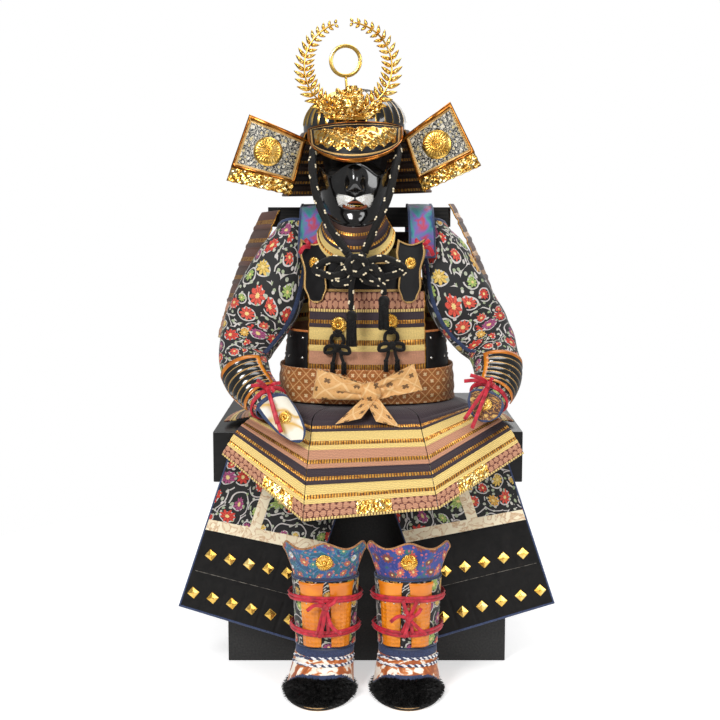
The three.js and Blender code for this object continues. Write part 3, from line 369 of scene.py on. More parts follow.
# Storage chest: a plain box of thin boards with a deep lid that overhangs it, in black lacquer.
# Its edges are eased by hand, and the lacquer on the box has a fine pebbled ground.
chest_black, tree, shader = finish("pebbled_black_lacquer", roughness=0.5, specular_ior_level=0.45, ior=1.5)
spot = add(tree, "TexCoord")["Object"]
pebble = add(tree, "TexNoise", {"Vector": spot, "Scale": 260, "Detail": 3})
cloud = add(tree, "TexNoise", {"Vector": spot, "Scale": 7})
ground = add(tree, "ValToRGB", {"Fac": pebble}, stops=[(0.35, "#0b0a0a"), (0.72, "#2e2c2a")])
worn = add(tree, "MixRGB", {"Fac": cloud, "Color1": ground, "Color2": "#1b1a19"}, blend_type="MULTIPLY")
gloss = add(tree, "MapRange", {"Value": cloud, "To Min": 0.42, "To Max": 0.58})
dress(tree, shader, pebble, 0.35, 0.0006, base_color=worn, roughness=gloss)

lid_black, tree, shader = finish("brushed_black_lacquer", roughness=0.32, coat_weight=0.5, coat_roughness=0.2)
spot = add(tree, "TexCoord")["Object"]
streak = add(tree, "Mapping", {"Vector": spot, "Scale": (6, 60, 60)})
strokes = add(tree, "TexNoise", {"Vector": streak, "Scale": 4, "Detail": 4})
ground = add(tree, "ValToRGB", {"Fac": strokes}, stops=[(0.3, "#060505"), (0.8, "#121010")])
gloss = add(tree, "MapRange", {"Value": strokes, "To Min": 0.25, "To Max": 0.42})
dress(tree, shader, strokes, 0.08, 0.001, base_color=ground, roughness=gloss)


def carcass(low, high, wall, opens_up):
    """A box of boards, hollowed from its top or its bottom, with eased edges."""
    bm = bmesh.new()
    size = Vector(high) - Vector(low)
    middle = (Vector(high) + Vector(low)) / 2
    block = Matrix.Translation(middle * MM) @ Matrix.Diagonal((*(size * MM), 1))
    bmesh.ops.create_cube(bm, size=1, matrix=block)
    mouth = max(bm.faces, key=lambda f: f.normal.z if opens_up else -f.normal.z)
    bmesh.ops.inset_region(bm, faces=[mouth], thickness=wall * MM, use_even_offset=True)
    moved = bmesh.ops.extrude_discrete_faces(bm, faces=[mouth])["faces"]
    drop = (size.z - wall) * MM
    bmesh.ops.translate(bm, verts=moved[0].verts, vec=(0, 0, -drop if opens_up else drop))
    eased = {"offset": 1.6 * MM, "segments": 2, "profile": 0.5, "material": -1, "clamp_overlap": True}
    bmesh.ops.bevel(bm, geom=bm.edges[:], affect="EDGES", **eased)
    return bm


box = carcass((-289, -250, 0), (289, 250, 477.6), 12, True)
place(box, "chest_carcass", [chest_black], ["chest_box"], "black_wood", smooth=False)
lid = carcass((-312.5, -275, 386), (316.5, 275, 490), 22, False)
place(lid, "chest_lid_carcass", [lid_black], ["chest_lid"], "black_wood", smooth=False)


# Stand: a foot, a post and a shoulder bar of stained softwood, with blocks for the helmet and the mask.
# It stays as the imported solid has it, in a thin black stain through which the grain shows.
stand_black, tree, shader = finish("stained_softwood", roughness=0.5, specular_ior_level=0.4, ior=1.5)
spot = add(tree, "TexCoord")["Object"]
grain_way = add(tree, "Mapping", {"Vector": spot, "Scale": (3, 24, 24)})
rings = {"Vector": grain_way, "Scale": 1.6, "Distortion": 6, "Detail": 3}
grain = add(tree, "TexWave", rings, bands_direction="Z")
stain = add(tree, "ValToRGB", {"Fac": grain}, stops=[(0.2, "#090808"), (0.85, "#1c1917")])
dress(tree, shader, grain, 0.12, 0.001, base_color=stain)
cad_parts["stand"].material_slots[0].material = stand_black


# Cuirass: rows of small lacquered scales, hidden by close vertical lacing of flat silk braid.
# Between the bands of silk the gilt heads of the scales show as a line of small ticks.
def outward(at, u, v):
    e = 1e-3
    across = at(u + e, v) - at(u - e, v)
    down = at(u, v + e) - at(u, v - e)
    return down.cross(across).normalized()


def wall(
    name, at, us, vs, finishes, thick, size, nodes=(), slot=None, relief=None, paint=None, ring=False,
    drop=None,
):
    """A wall of cloth, leather or plate: a flat grid laid on the surface at(u, v), where u runs to the
    viewer's right and v down. Relief lifts it, and size is its cut in metres. Paint gives each face the
    number of its finish, and where that is dyed, its dye."""
    bm = bmesh.new()
    cut = bm.loops.layers.uv.new("cut")
    dye = bm.loops.layers.float_color.new("dye")
    across, down = len(us) - 1, len(vs) - 1
    bmesh.ops.create_grid(bm, x_segments=across, y_segments=down, size=0.5)
    spot = {v: (us[round((v.co.x + 0.5) * across)], vs[round((0.5 - v.co.y) * down)]) for v in bm.verts}
    for vert, (u, v) in spot.items():
        lift = thick + (relief(u, v) if relief else 0)
        vert.co = (at(u, v) + outward(at, u, v) * lift) * MM
    gone = []
    for face in bm.faces:
        corners = [spot[v] for v in face.verts]
        u = sum(c[0] for c in corners) / 4
        v = sum(c[1] for c in corners) / 4
        if drop and drop(u, v):
            gone.append(face)
        painted = paint(u, v) if paint else 0
        face.material_index, colour = painted if isinstance(painted, tuple) else (int(painted), "#ffffff")
        for loop in face.loops:
            lu, lv = spot[loop.vert]
            loop[cut].uv = (lu * size[0], (1 - lv) * size[1])
            loop[dye] = linear(colour)
    bmesh.ops.delete(bm, geom=gone, context="FACES")
    if ring:
        bmesh.ops.remove_doubles(bm, verts=bm.verts, dist=1e-5)
    piece = place(bm, name, finishes, nodes, slot)
    depth = piece.modifiers.new("thickness", "SOLIDIFY")
    depth.thickness = thick * MM
    depth.offset = -1
    return piece


# Silk lacing: flat braid with a soft sheen, dyed band by band, with the chevrons of its plait drawn coarse;
# the chevrons also darken and lighten the dye as painted shade and highlight on the plait's ridges
silk, tree, shader = finish("laced_silk_braid", roughness=0.7, sheen_weight=0.25, sheen_roughness=0.5)
cut = add(tree, "TexCoord")["UV"]
parts = add(tree, "SeparateXYZ", {"Vector": cut})
slant = add(tree, "Math", {0: parts["X"], 1: 1 / 0.0055}, operation="MULTIPLY")
slant = add(tree, "Math", {0: slant, 1: 1.0}, operation="PINGPONG")
slant = add(tree, "Math", {0: slant, 1: 2.4}, operation="MULTIPLY")
run = add(tree, "Math", {0: parts["Y"], 1: 2 * pi / 0.0026, 2: slant}, operation="MULTIPLY_ADD")
chevron = add(tree, "Math", {0: run}, operation="SINE")
fuzz = add(tree, "TexNoise", {"Vector": cut, "Scale": 420, "Detail": 2})
dyed = add(tree, "Attribute", attribute_name="dye")["Color"]
# the chevrons' troughs and crests are painted into the dye as shade and highlight
thread = add(tree, "MapRange", {"Value": chevron, "From Min": -1.0, "To Min": 0.72, "To Max": 1.06})
uneven = add(
    tree, "MapRange", {"Value": fuzz, "From Min": 0.3, "From Max": 0.7, "To Min": 0.82, "To Max": 1.08}
)
shade = add(tree, "Math", {0: thread, 1: uneven}, operation="MULTIPLY")
colour = add(tree, "MixRGB", {"Fac": 1.0, "Color1": dyed, "Color2": shade}, blend_type="MULTIPLY")
dress(tree, shader, chevron, 0.35, 0.0008, base_color=colour)


def clouded(name, marks, dyes, depth=None, reach=0.001, gloss=None, **surface):
    """A finish that one pattern of clouds dyes and raises, and whose roughness may follow it."""
    material, tree, shader = finish(name, **surface)
    cloud = add(tree, "TexNoise", {"Vector": add(tree, "TexCoord")["Object"], **marks})
    sockets = {"base_color": add(tree, "ValToRGB", {"Fac": cloud}, stops=dyes)}
    if gloss:
        sockets["roughness"] = add(tree, "MapRange", {"Value": cloud, "To Min": gloss[0], "To Max": gloss[1]})
    dress(tree, shader, cloud if depth else None, depth, reach, **sockets)
    return material


# Gilt scale heads: gold leaf on lacquer, rubbed through to red-brown here and there
RUBBED = [(0.3, "#7a4216"), (0.48, "#c98a35"), (0.75, "#efbf62")]
gilt_head = clouded(
    "gilt_lacquer", {"Scale": 150, "Detail": 4}, RUBBED, 0.2, 0.0006, (0.5, 0.2),
    roughness=0.34, metallic=0.75,
)

# Chased gilt: cast and chased flowers, whose colour follows the height of the relief: painted shade in the
# ground and a painted highlight on the raised tops
chased_gilt, tree, shader = finish("chased_gilt_copper", metallic=1.0, roughness=0.36)
spot = add(tree, "TexCoord")["Object"]
curl = add(tree, "TexNoise", {"Vector": spot, "Scale": 62, "Detail": 1, "Distortion": 1.6})
bud = add(tree, "TexVoronoi", {"Vector": spot, "Scale": 120})["Distance"]
relief = add(tree, "Math", {0: curl, 1: bud, 2: 0.25}, operation="SMOOTH_MIN")
# the dark and pale ends of this ramp follow the relief: painted shade in the ground, a painted highlight on
# the tops
PAINTED_SHADE_TO_HIGHLIGHT = [(0.16, "#6b3c12"), (0.3, "#c08430"), (0.44, "#edbf62"), (0.6, "#ffe3a6")]
shade = add(tree, "ValToRGB", {"Fac": relief}, stops=PAINTED_SHADE_TO_HIGHLIGHT)
worn = {"From Min": 0.15, "From Max": 0.5, "To Min": 0.55, "To Max": 0.2}
gloss = add(tree, "MapRange", {"Value": relief, **worn})
dress(tree, shader, relief, 0.9, 0.003, base_color=shade, roughness=gloss)

CREAM, PINK, PURPLE, BROWN = "#efcf7e", "#c98f6e", "#2f1c26", "#3a1d0e"
HEADS_TOP, HEADS_LOW, KNOT_ROWS = 0.5, 0.72, 2.4


def silk_rows(bands, cords, lip, rim=0.0, plaque=(2, 2)):
    """Columns, rows, relief and dyes of a laced panel. Each band has its v from and to, its colour and its
    kind: row is braid, a line of ticks and a thin band, knots are crossed knots, and any other is plain."""
    us = sorted({0.0, 1.0, *((i + o) / cords for i in range(cords) for o in (0.15, 0.5, 0.85))})
    row_steps = (0.03, 0.12, 0.3, 0.44, 0.5, 0.54, 0.68, 0.73, 0.86, 0.98)
    vs = {0.0, 1.0}
    for low, high, _, kind in bands:
        steps = even(14)[1:] if kind == "knots" else row_steps
        vs |= {round(min(mix(low, high, s), 1.0), 5) for s in steps}
    vs = sorted(vs)

    def band_at(v):
        for low, high, colour, kind in bands:
            if v < high:
                return clamp((v - low) / (high - low)), colour, kind
        return 1.0, bands[-1][2], bands[-1][3]

    def on_tick(u):
        return 0.14 < (u * cords) % 1 < 0.86

    def knot_at(u, f):
        """How far a spot is from the middle of its knot."""
        rows = f * KNOT_ROWS
        x = (u * cords * 0.46 + 0.5 * (int(rows) % 2)) % 1.0 - 0.5
        return hypot(x, (rows % 1.0 - 0.5) * 0.92)

    def relief(u, v):
        f, _, kind = band_at(v)
        cord = abs(sin(pi * u * cords))
        if kind == "knots" and plaque[0] < u < plaque[1] and f < 0.86:
            return lip + 3 + 0.8 * sin(190 * u) * sin(24 * f)
        if kind == "knots" and f > 0.84:
            return lip + (1.6 if on_tick(u) else -0.4)
        if kind == "knots":
            return lip * 0.6 + 3.4 * sqrt(max(0.0, 1 - (knot_at(u, f) / 0.55) ** 2))
        if kind == "row" and HEADS_TOP < f < HEADS_LOW:
            return lip * f + (0.9 if on_tick(u) else -0.7)
        if kind == "row" and f >= HEADS_LOW:
            return lip * f + 2.0 * sin(pi * clamp((f - HEADS_LOW) / (1 - HEADS_LOW))) + 0.3 * cord
        pillow = 1.5 * sqrt(max(0.0, sin(pi * clamp(f / (HEADS_TOP if kind == "row" else 1)))))
        return lip * f + pillow + 0.75 * cord

    def paint(u, v):
        f, colour, kind = band_at(v)
        if rim and (u < rim or u > 1 - rim):
            return 1
        if kind == "knots" and plaque[0] < u < plaque[1] and f < 0.86:
            return 2
        if kind == "knots" and f > 0.84:
            return 0, CREAM if on_tick(u) else "#5a2a12"
        if kind == "knots":
            return 0, colour if knot_at(u, f) < 0.46 else "#6a2c20"
        if kind == "row" and HEADS_TOP < f < HEADS_LOW:
            return 1 if on_tick(u) else (0, "#2a1410")
        return 0, colour

    return us, vs, relief, paint


HIP_Z, CHEST_Z, BACK_Z, SUIT_Y = 574, 771, 888, -105


def girth(z, off):
    """Half the width and half the depth of the suit's body at a height."""
    t = clamp((z - HIP_Z) / (CHEST_Z - HIP_Z))
    return mix(176, 154, t) + off, mix(124, 127, t) + off


def torso(angle, z, off=0.0):
    """The suit's body section: a squared oval that narrows towards the armholes."""
    a, b = girth(z, off)
    s, c = sin(angle), cos(angle)
    r = ((abs(s) / a) ** 2.5 + (abs(c) / b) ** 2.5) ** (-1 / 2.5)
    return Vector((r * s, SUIT_Y - r * c, z))


def body_y(x, z, side, off=0.0):
    a, b = girth(z, off)
    return SUIT_Y + side * b * (1 - min(abs(x) / a, 0.999) ** 2.5) ** 0.4


def front_at(u, v):
    return torso(radians(mix(-50, 50, u)), mix(CHEST_Z, HIP_Z, v))


def back_at(u, v):
    z = mix(BACK_Z, HIP_Z, v)
    half = mix(88, 50, ease(z, 720, 800)) - 0.2
    return torso(radians(180 + mix(-half, half, u)), z)


LACED = [silk, gilt_head, chased_gilt]
FRONT_ROWS = [(730, PINK), (697, PURPLE), (648, CREAM), (596, PINK), (HIP_Z, PURPLE)]
bands = []
for low, dye in FRONT_ROWS:
    start = bands[-1][1] if bands else 0
    bands.append((start, (CHEST_Z - low) / (CHEST_Z - HIP_Z), dye, "row" if bands else "knots"))
us, vs, relief, paint = silk_rows(bands, 48, 1.2, rim=0.012)
wall(
    "cuirass_front_rows", front_at, us, vs, LACED, 3, (0.285, 0.197), ["cuirass_front"], "silk_lacing",
    relief, paint,
)
BACK = [PURPLE, CREAM, PINK, PURPLE, CREAM, PINK, PURPLE, CREAM]
bands = [(i / 8, (i + 1) / 8, dye, "row") for i, dye in enumerate(BACK)]
us, vs, relief, paint = silk_rows(bands, 52, 1.2, rim=0.01)
wall(
    "cuirass_back_rows", back_at, us, vs, LACED, 3, (0.42, 0.314), ["cuirass_back"], "brown_lacquer",
    relief, paint,
)


# Side plates: lacquered leather over iron, smooth and black, with a few steel rivets and a tan piping below.
# They close the gap under the arms and are tied to the front and the back.
leather, tree, shader = finish("grained_black_leather", roughness=0.45, specular_ior_level=0.3, ior=1.5)
spot = add(tree, "TexCoord")["Object"]
pore = add(tree, "TexVoronoi", {"Vector": spot, "Scale": 420}, feature="DISTANCE_TO_EDGE")["Distance"]
crease = add(tree, "TexNoise", {"Vector": spot, "Scale": 60, "Detail": 5})
skin = add(tree, "Math", {0: pore, 1: crease}, operation="ADD")
shade = add(tree, "ValToRGB", {"Fac": crease}, stops=[(0.3, "#050405"), (0.7, "#121011")])
gloss = add(tree, "MapRange", {"Value": crease, "To Min": 0.34, "To Max": 0.55})
dress(tree, shader, skin, 0.4, 0.0007, base_color=shade, roughness=gloss)

# Tan piping: dyed doeskin rolled over a core
piping = clouded(
    "tan_doeskin_piping", {"Scale": 300, "Detail": 3}, [(0.3, "#9c4f17"), (0.7, "#c97a35")], 0.3, 0.0006,
    roughness=0.55, sheen_weight=0.15,
)
# Steel rivets: turned and polished, with faint rings
steel = clouded(
    "polished_steel", {"Scale": 700}, [(0.3, "#b9b8b4"), (0.7, "#e4e3df")], 0.1, 0.0003,
    metallic=1.0, roughness=0.22,
)


def rivet(bm, at, u, v, lift, radius):
    n = outward(at, u, v)
    bead(bm, facing(n, at(u, v) + n * lift), (radius, radius, radius * 0.6))


SIDE_TOP = 690
rivets = bmesh.new()
for side, (start, end) in {"left": (-91.8, -50.2), "right": (50.2, 91.8)}.items():

    def side_at(u, v):
        return torso(radians(mix(start, end, u)), mix(SIDE_TOP, HIP_Z, v))

    wall(
        f"cuirass_side_{side}_leather", side_at,
        even(20), [0, 0.02, 0.035, 0.05, *even(8, 0.1, 0.9), 0.94, 0.955, 0.975, 1],
        [leather, piping], 3, (0.12, 0.116), [f"cuirass_side_{side}"], "black_lacquer",
        relief=lambda u, v: 1.2 if v > 0.95 or v < 0.04 else 0,
        paint=lambda u, v: v > 0.955 or v < 0.035,
    )
    for u in (0.12, 0.5, 0.88):
        for v in (0.14, 0.5, 0.84):
            rivet(rivets, side_at, u, v, 3.4, 3.2)
place(rivets, "side_rivets", [steel])


# Breast plate and leaf plates: boards faced with printed black leather and edged with gold piping.
# The two leaf plates hang over the strap fastenings, each with a gilt chrysanthemum boss.
gold_edge, tree, shader = finish("gold_braid_edging", metallic=0.55, roughness=0.4)
spot = add(tree, "TexCoord")["Object"]
twist = add(tree, "TexWave", {"Vector": spot, "Scale": 260, "Distortion": 1}, bands_direction="DIAGONAL")
shade = add(tree, "ValToRGB", {"Fac": twist}, stops=[(0.15, "#a4692a"), (0.7, "#eecb85")])
dress(tree, shader, twist, 0.5, 0.0008, base_color=shade)

# Gilt brass: cast, gilded in the fire and burnished, with a soft cloud in its shine
BRIGHT = [(0.3, "#d9a441"), (0.55, "#f2c869"), (0.8, "#ffe6a3")]
gold = clouded(
    "polished_gilt_brass", {"Scale": 55, "Detail": 4}, BRIGHT, 0.03, 0.001, (0.2, 0.34),
    metallic=1.0, roughness=0.2,
)


def breast_at(u, v):
    x = mix(-108, 108, u)
    z = mix(832 + 14 * (abs(x) / 108) ** 2, 771.6, v)
    return Vector((x, body_y(x, z, -1), z))


def pillow(u, v):
    """The rise of a padded cloth, which is 1 in the middle and 0 at all edges."""
    return sin(pi * clamp(u)) * sin(pi * clamp(v))


def board_edge(u, v, side=0.03, top=0.08):
    return u < side or u > 1 - side or v < top or v > 1 - top


wall(
    "breast_plate_leather", breast_at,
    [0, 0.012, 0.03, *even(24, 0.05, 0.95), 0.97, 0.988, 1],
    [0, 0.04, 0.08, *even(6, 0.12, 0.88), 0.92, 0.96, 1],
    [leather, gold_edge], 3, (0.22, 0.06), ["breast_plate"], "black_lacquer",
    relief=lambda u, v: 1.0 if board_edge(u, v) else 0.0, paint=board_edge,
)


def rosette(bm, spot, radius, height, petals, rings=1):
    """A chrysanthemum boss: a shallow disc, rings of long petals and a domed button."""
    flat = spot @ Matrix.Diagonal((radius * MM, radius * MM, height * 0.3 * MM, 1))
    disc = {"cap_ends": True, "segments": petals * 2, "radius1": 1, "radius2": 0.9, "depth": 1}
    bmesh.ops.create_cone(bm, matrix=flat, **disc)
    for ring in range(rings):
        reach = radius * (1 - 0.36 * ring)
        half_width = pi * 0.62 * reach / petals * 1.05
        for i in range(petals):
            turn = Matrix.Rotation(2 * pi * (i + 0.5 * ring) / petals, 4, "Z")
            lift = Matrix.Translation(Vector((0.62 * reach, 0, height * 0.3 * (1 + ring))) * MM)
            bead(bm, spot @ turn @ lift, (0.4 * reach, half_width, height * 0.3))
    top = Matrix.Translation((0, 0, height * 0.45 * MM))
    bead(bm, spot @ top, (radius * 0.26, radius * 0.26, height * 0.55), 3)


LEAF = [(0, 0.9), (0.2, 1), (0.5, 0.72), (0.75, 0.78), (0.93, 0.5), (1, 0.15)]
LEAF_HALF = 30
BOSS = (0.5, 0.32)


def leaf_half(v):
    """Half the width of the leaf shape, which is broad at shoulder and hip and ends in a point."""
    for (v0, h0), (v1, h1) in zip(LEAF, LEAF[1:]):
        if v <= v1:
            return LEAF_HALF * mix(h0, h1, ease(v, v0, v1))


bosses = bmesh.new()
for side, way, middle in (("left", -1, -107), ("right", 1, 89)):

    def leaf_at(u, v):
        x = middle + mix(-1, 1, u) * leaf_half(clamp(v)) - 4 * way * v
        dip = 10 * cos(pi * (u - 0.5)) * (1 - v)
        return Vector((x, body_y(x, 832, -1, 8), mix(878, 748, v) - dip))

    wall(
        f"leaf_plate_{side}_leather", leaf_at,
        [0, 0.03, 0.06, 0.075, *even(10, 0.12, 0.88), 0.925, 0.94, 0.97, 1],
        [0, 0.012, 0.025, 0.03, *even(24, 0.06, 0.94), 0.97, 0.985, 1],
        [leather, gold_edge], 2.5, (0.06, 0.13), [f"leaf_plate_{side}"], "black_lacquer",
        relief=lambda u, v: 1.3 if board_edge(u, v, 0.065, 0.026) else 0.0,
        paint=lambda u, v: board_edge(u, v, 0.07, 0.027),
    )
    n = outward(leaf_at, *BOSS)
    rosette(bosses, facing(n, leaf_at(*BOSS) + n * 2.4), 12.5, 7, 16)
place(bosses, "leaf_plate_bosses", [gold], slot="gilt_metal")


# Shoulder straps: padded bands of shot brocade with navy piping that run over the stand's bar.
# A red ribbon ties each one down where it passes the leaf plate.
def threads(tree, cut, pitch):
    """The height of a plain weave with that pitch in metres, drawn on a piece's own cut."""
    parts = add(tree, "SeparateXYZ", {"Vector": cut})
    warp = add(tree, "Math", {0: parts["X"], 1: 2 * pi / pitch}, operation="MULTIPLY")
    weft = add(tree, "Math", {0: parts["Y"], 1: 2 * pi / pitch}, operation="MULTIPLY")
    warp = add(tree, "Math", {0: warp}, operation="SINE")
    weft = add(tree, "Math", {0: weft}, operation="SINE")
    return add(tree, "Math", {0: warp, 1: weft}, operation="MULTIPLY")


# Shot silk: the ground shifts from blue through teal and violet to red, as the two thread colours cross
shot_silk, tree, shader = finish("shot_silk_brocade", roughness=0.5, sheen_weight=0.35, sheen_roughness=0.4)
cut = add(tree, "TexCoord")["UV"]
cloud = add(tree, "TexNoise", {"Vector": cut, "Scale": 26, "Detail": 2, "Distortion": 0.8})
shade = add(
    tree,
    "ValToRGB",
    {"Fac": cloud},
    stops=[(0.32, "#20437c"), (0.43, "#2b8a86"), (0.53, "#6f5ba8"), (0.62, "#b8354a"), (0.72, "#3b6fb5")],
)
weave = threads(tree, cut, 0.0016)
dress(tree, shader, weave, 0.35, 0.0006, base_color=shade)

# Navy binding: a narrow twill tape, with its slanting rib
def tape(name, ribs, waver, fuzz, dyes, **surface):
    """A narrow woven tape or ribbon: its slanting ribs are raised, and its dye is a little uneven."""
    material, tree, shader = finish(name, **surface)
    spot = add(tree, "TexCoord")["Object"]
    ribbing = {"Vector": spot, "Scale": ribs, "Distortion": waver}
    rib = add(tree, "TexWave", ribbing, bands_direction="DIAGONAL")
    cloud = add(tree, "TexNoise", {"Vector": spot, **fuzz})
    dress(tree, shader, rib, 0.3, 0.0006, base_color=add(tree, "ValToRGB", {"Fac": cloud}, stops=dyes))
    return material


navy = tape(
    "navy_twill_binding", 190, 0.6, {"Scale": 350}, [(0.3, "#1b2747"), (0.7, "#33466f")],
    roughness=0.75, sheen_weight=0.25,
)

# Crimson ribbon: ribbed silk tape with a satin light along its folds
REDS = [(0.3, "#8d1022"), (0.55, "#c0182f"), (0.8, "#d93a4c")]
crimson = tape(
    "crimson_silk_ribbon", 240, 1.2, {"Scale": 90, "Detail": 3}, REDS,
    roughness=0.45, sheen_weight=0.3, sheen_roughness=0.35,
)

STRAP_TOP = 942.8
strap_ribbons = bmesh.new()
for side, way in (("left", -1), ("right", 1)):
    x = way * 112
    front, back = body_y(x, 832, -1, 4.4), body_y(x, BACK_Z, 1, 6.4)
    rise = [(0, front, 838), (0, front + 8, 880), (0, front + 40, 928), (0, -97, STRAP_TOP)]
    line = along([*rise, (0, -43, STRAP_TOP), (0, back, 915), (0, back + 1, 866)])

    def strap_at(u, v):
        p = line(v)
        px = x + mix(27, -27, u)
        ends = 1 - ease(v, 0.08, 0.3) * (1 - ease(v, 0.72, 0.92))
        end = -1 if v < 0.5 else 1
        follow = body_y(px, BACK_Z, end, 4.4) - body_y(x, BACK_Z, end, 4.4)
        return Vector((px, p.y + follow * ends, p.z))

    strap = wall(
        f"shoulder_strap_{side}_brocade", strap_at,
        [0, 0.04, 0.08, 0.1, *even(8, 0.16, 0.84), 0.9, 0.92, 0.96, 1], even(60),
        [shot_silk, navy], 3, (0.054, 0.30), [f"shoulder_strap_{side}"], "blue_brocade",
        relief=lambda u, v: 1.4 if board_edge(u, v, 0.09, 0.02) else 0.7 * sin(pi * u),
        paint=lambda u, v: board_edge(u, v, 0.085, 0.02),
    )
    knot = Vector((x, front - 3, 862))
    for dx, dz in ((-26, -14), (24, -18), (-14, 16), (16, 14)):
        bend = knot + Vector((dx * 0.6, -6, dz * 0.3 + 4))
        twine(strap_ribbons, [knot, bend, knot + Vector((dx, 2, dz))], 9, 1.6, 8, steps=8)
place(strap_ribbons, "strap_ribbons", [crimson], slot="crimson_ribbon")


# Shoulder guards: seven broad rows of brown lacquered scales, laced in brown and gold, hung from the bar.
# The lowest rows are laced in pink, with crossed knots, and a gilt rim runs down both edges.
GUARDS = {
    "left": ((-225, -26, 930), (-182, -102, 935), (-322, 16, 652), (-262, -100, 656), (-0.8, -0.5, 0.1)),
    "right": ((172, -98, 948), (190, 24, 948), (274, -96, 660), (298, 24, 658), (1, 0, 0.1)),
}
GUARD_DYES = [*["#5a2c14", "#43210f"] * 2, "#5a2c14", PINK]
bands = [(i / 7, (i + 1) / 7, dye, "row") for i, dye in enumerate(GUARD_DYES)]
us, vs, relief, paint = silk_rows([*bands, (6 / 7, 1, PINK, "knots")], 22, 2.2, rim=0.03)
for side, (*corners, swell) in GUARDS.items():
    a, b, c, d = (Vector(p) for p in corners)

    def guard_at(u, v):
        p = a.lerp(b, u).lerp(c.lerp(d, u), v)
        return p + Vector(swell) * (10 * sin(pi * u) * v + 14 * sin(pi * v * 0.9))

    name = f"shoulder_guard_{side}"
    wall(name + "_rows", guard_at, us, vs, LACED, 2.5, (0.12, 0.29), [name], "brown_lacquer", relief, paint)


# Helmet: a bowl of many riveted iron plates in black lacquer, with gilt ribs and a stepped crown ring.
# The whole helmet leans a little on its block.
HELMET = Matrix.Translation((-24, -105, 1100)) @ Matrix.Rotation(radians(-1.5), 4, "Y")
LACQUER = [(0.3, "#060606"), (0.8, "#131110")]
urushi = clouded(
    "polished_black_lacquer", {"Scale": 35, "Detail": 2}, LACQUER, 0.05, 0.002, (0.1, 0.24),
    roughness=0.16, coat_weight=1.0, coat_roughness=0.06, ior=1.55,
)
BOWL_RADIUS, BOWL_RISE, RIM_DROP = 105, 72, 22
DOME = 0.75
PLATES = 32


def bowl_at(u, v):
    angle = 2 * pi * u
    rise = min(v / DOME, 1) * pi / 2
    low = v >= DOME
    radius = BOWL_RADIUS * (1 if low else max(sin(rise), 0.08))
    z = mix(12, -RIM_DROP, (v - DOME) / (1 - DOME)) if low else 12 + BOWL_RISE * cos(rise)
    return HELMET @ Vector((radius * sin(angle), -radius * cos(angle), z))


def rib_lift(u, v):
    part = (u * PLATES) % 1
    return 0.9 if v >= DOME else (2.2 if part < 0.15 or part > 0.98 else 0.0)


wall(
    "helmet_bowl_plates", bowl_at,
    sorted({round((i + o) / PLATES, 6) for i in range(PLATES) for o in (0, 0.1, 0.2, 0.6, 1)}),
    [0.04, 0.08, 0.15, *even(10, 0.22, 0.72), 0.75, 0.76, 0.8, 0.9, 0.97, 1],
    [urushi, gold], 2.5, (0.66, 0.2), ["helmet_bowl"], "black_lacquer", rib_lift,
    lambda u, v: v < DOME and (u * PLATES) % 1 < 0.2 or v > 0.97,
    ring=True,
)
crown = bmesh.new()
axis = HELMET @ Vector((0, 0, 83))
up = HELMET.to_3x3() @ Vector((0, 0, 1))
for radius, low, high in ((15, 0, 4), (12, 3, 7), (8, 6, 12)):
    strand(crown, axis + up * low, axis + up * high, radius, radius * 0.85, 36)
for turn in even(16, 0, 2 * pi)[:-1]:
    bead(crown, HELMET @ Vector((13.4 * cos(turn), 13.4 * sin(turn), 85.5)), (2.2, 2.2, 2.2))
place(crown, "helmet_crown_ring", [gold], slot="gilt_metal", smooth=False)


# Visor: a broad plate that dips over the brow, faced with chased gilt flowers on black leather.
# A thick gilt rim with a dark groove and an orange cord line runs round it.
COPPER = [(0.3, "#6d3510"), (0.55, "#b9732a"), (0.8, "#e3a955")]
rim_gilt = clouded(
    "burnished_copper_gilt", {"Scale": 40, "Detail": 4}, COPPER, 0.1, 0.001, metallic=0.9, roughness=0.25
)


def visor_at(u, v):
    s = mix(-1, 1, u)
    angle = radians(62 * s)
    dip = max(1 - s * s, 0) ** 0.6
    top = Vector((108.4 * sin(angle), -108.4 * cos(angle), 2 + 9 * (1 - s * s)))
    low = Vector((95 * s, mix(-64, -157, dip), mix(-14, -70, dip)))
    swell = sin(pi * v) * dip
    return HELMET @ (top.lerp(low, v) + Vector((0, -9 * swell, 6 * swell)))


def visor_edge(u, v):
    """How far inside the visor's edge a point is, as a share of its half width."""
    return min((1 - abs(2 * u - 1)) * 1.6, (1 - v) * 1.15, v * 1.6 + 0.02)


def visor_relief(u, v):
    e = visor_edge(u, v)
    if e < 0.1:
        return 2.6 * sqrt(max(0.0, 1 - ((e - 0.05) / 0.055) ** 2))
    if 0.14 < e < 0.19:
        return 1.2
    if e > 0.26:
        return 1.4 + 0.8 * sin(28 * u) * sin(16 * v + 1)
    return 0.2


def visor_paint(u, v):
    e = visor_edge(u, v)
    if e < 0.1:
        return 1
    if 0.14 < e < 0.19:
        return 2
    flowers = 0.27 + 0.1 * sin(9 * pi * u) ** 2
    return 0 if e > flowers else 3


wall(
    "visor_plate", visor_at, even(96), even(48),
    [chased_gilt, rim_gilt, gold_edge, leather], 2.5, (0.26, 0.11), ["visor"], "gilt_metal",
    visor_relief, visor_paint,
)


# Neck guard: three flared rows of brown lacquered scales that are laced close in brown and gold silk.
# Its front ends are folded out into the two turn-backs.
def neck_at(u, v):
    angle = radians(mix(63.5, 296.5, u))
    radius = 109.4 + 44 * v + 6 * sin(pi * v)
    return HELMET @ Vector((radius * sin(angle), -radius * cos(angle), mix(-2, -132, v)))


NECK = [(i / 6, (i + 1) / 6, dye, "row") for i, dye in enumerate([BROWN, "#5b3213"] * 3)]
us, vs, relief, paint = silk_rows(NECK, 66, 1.4, rim=0.004)
wall(
    "neck_guard_rows", neck_at, us, vs, LACED, 2.5, (0.5, 0.14), ["neck_guard"], "brown_lacquer",
    relief, paint,
)


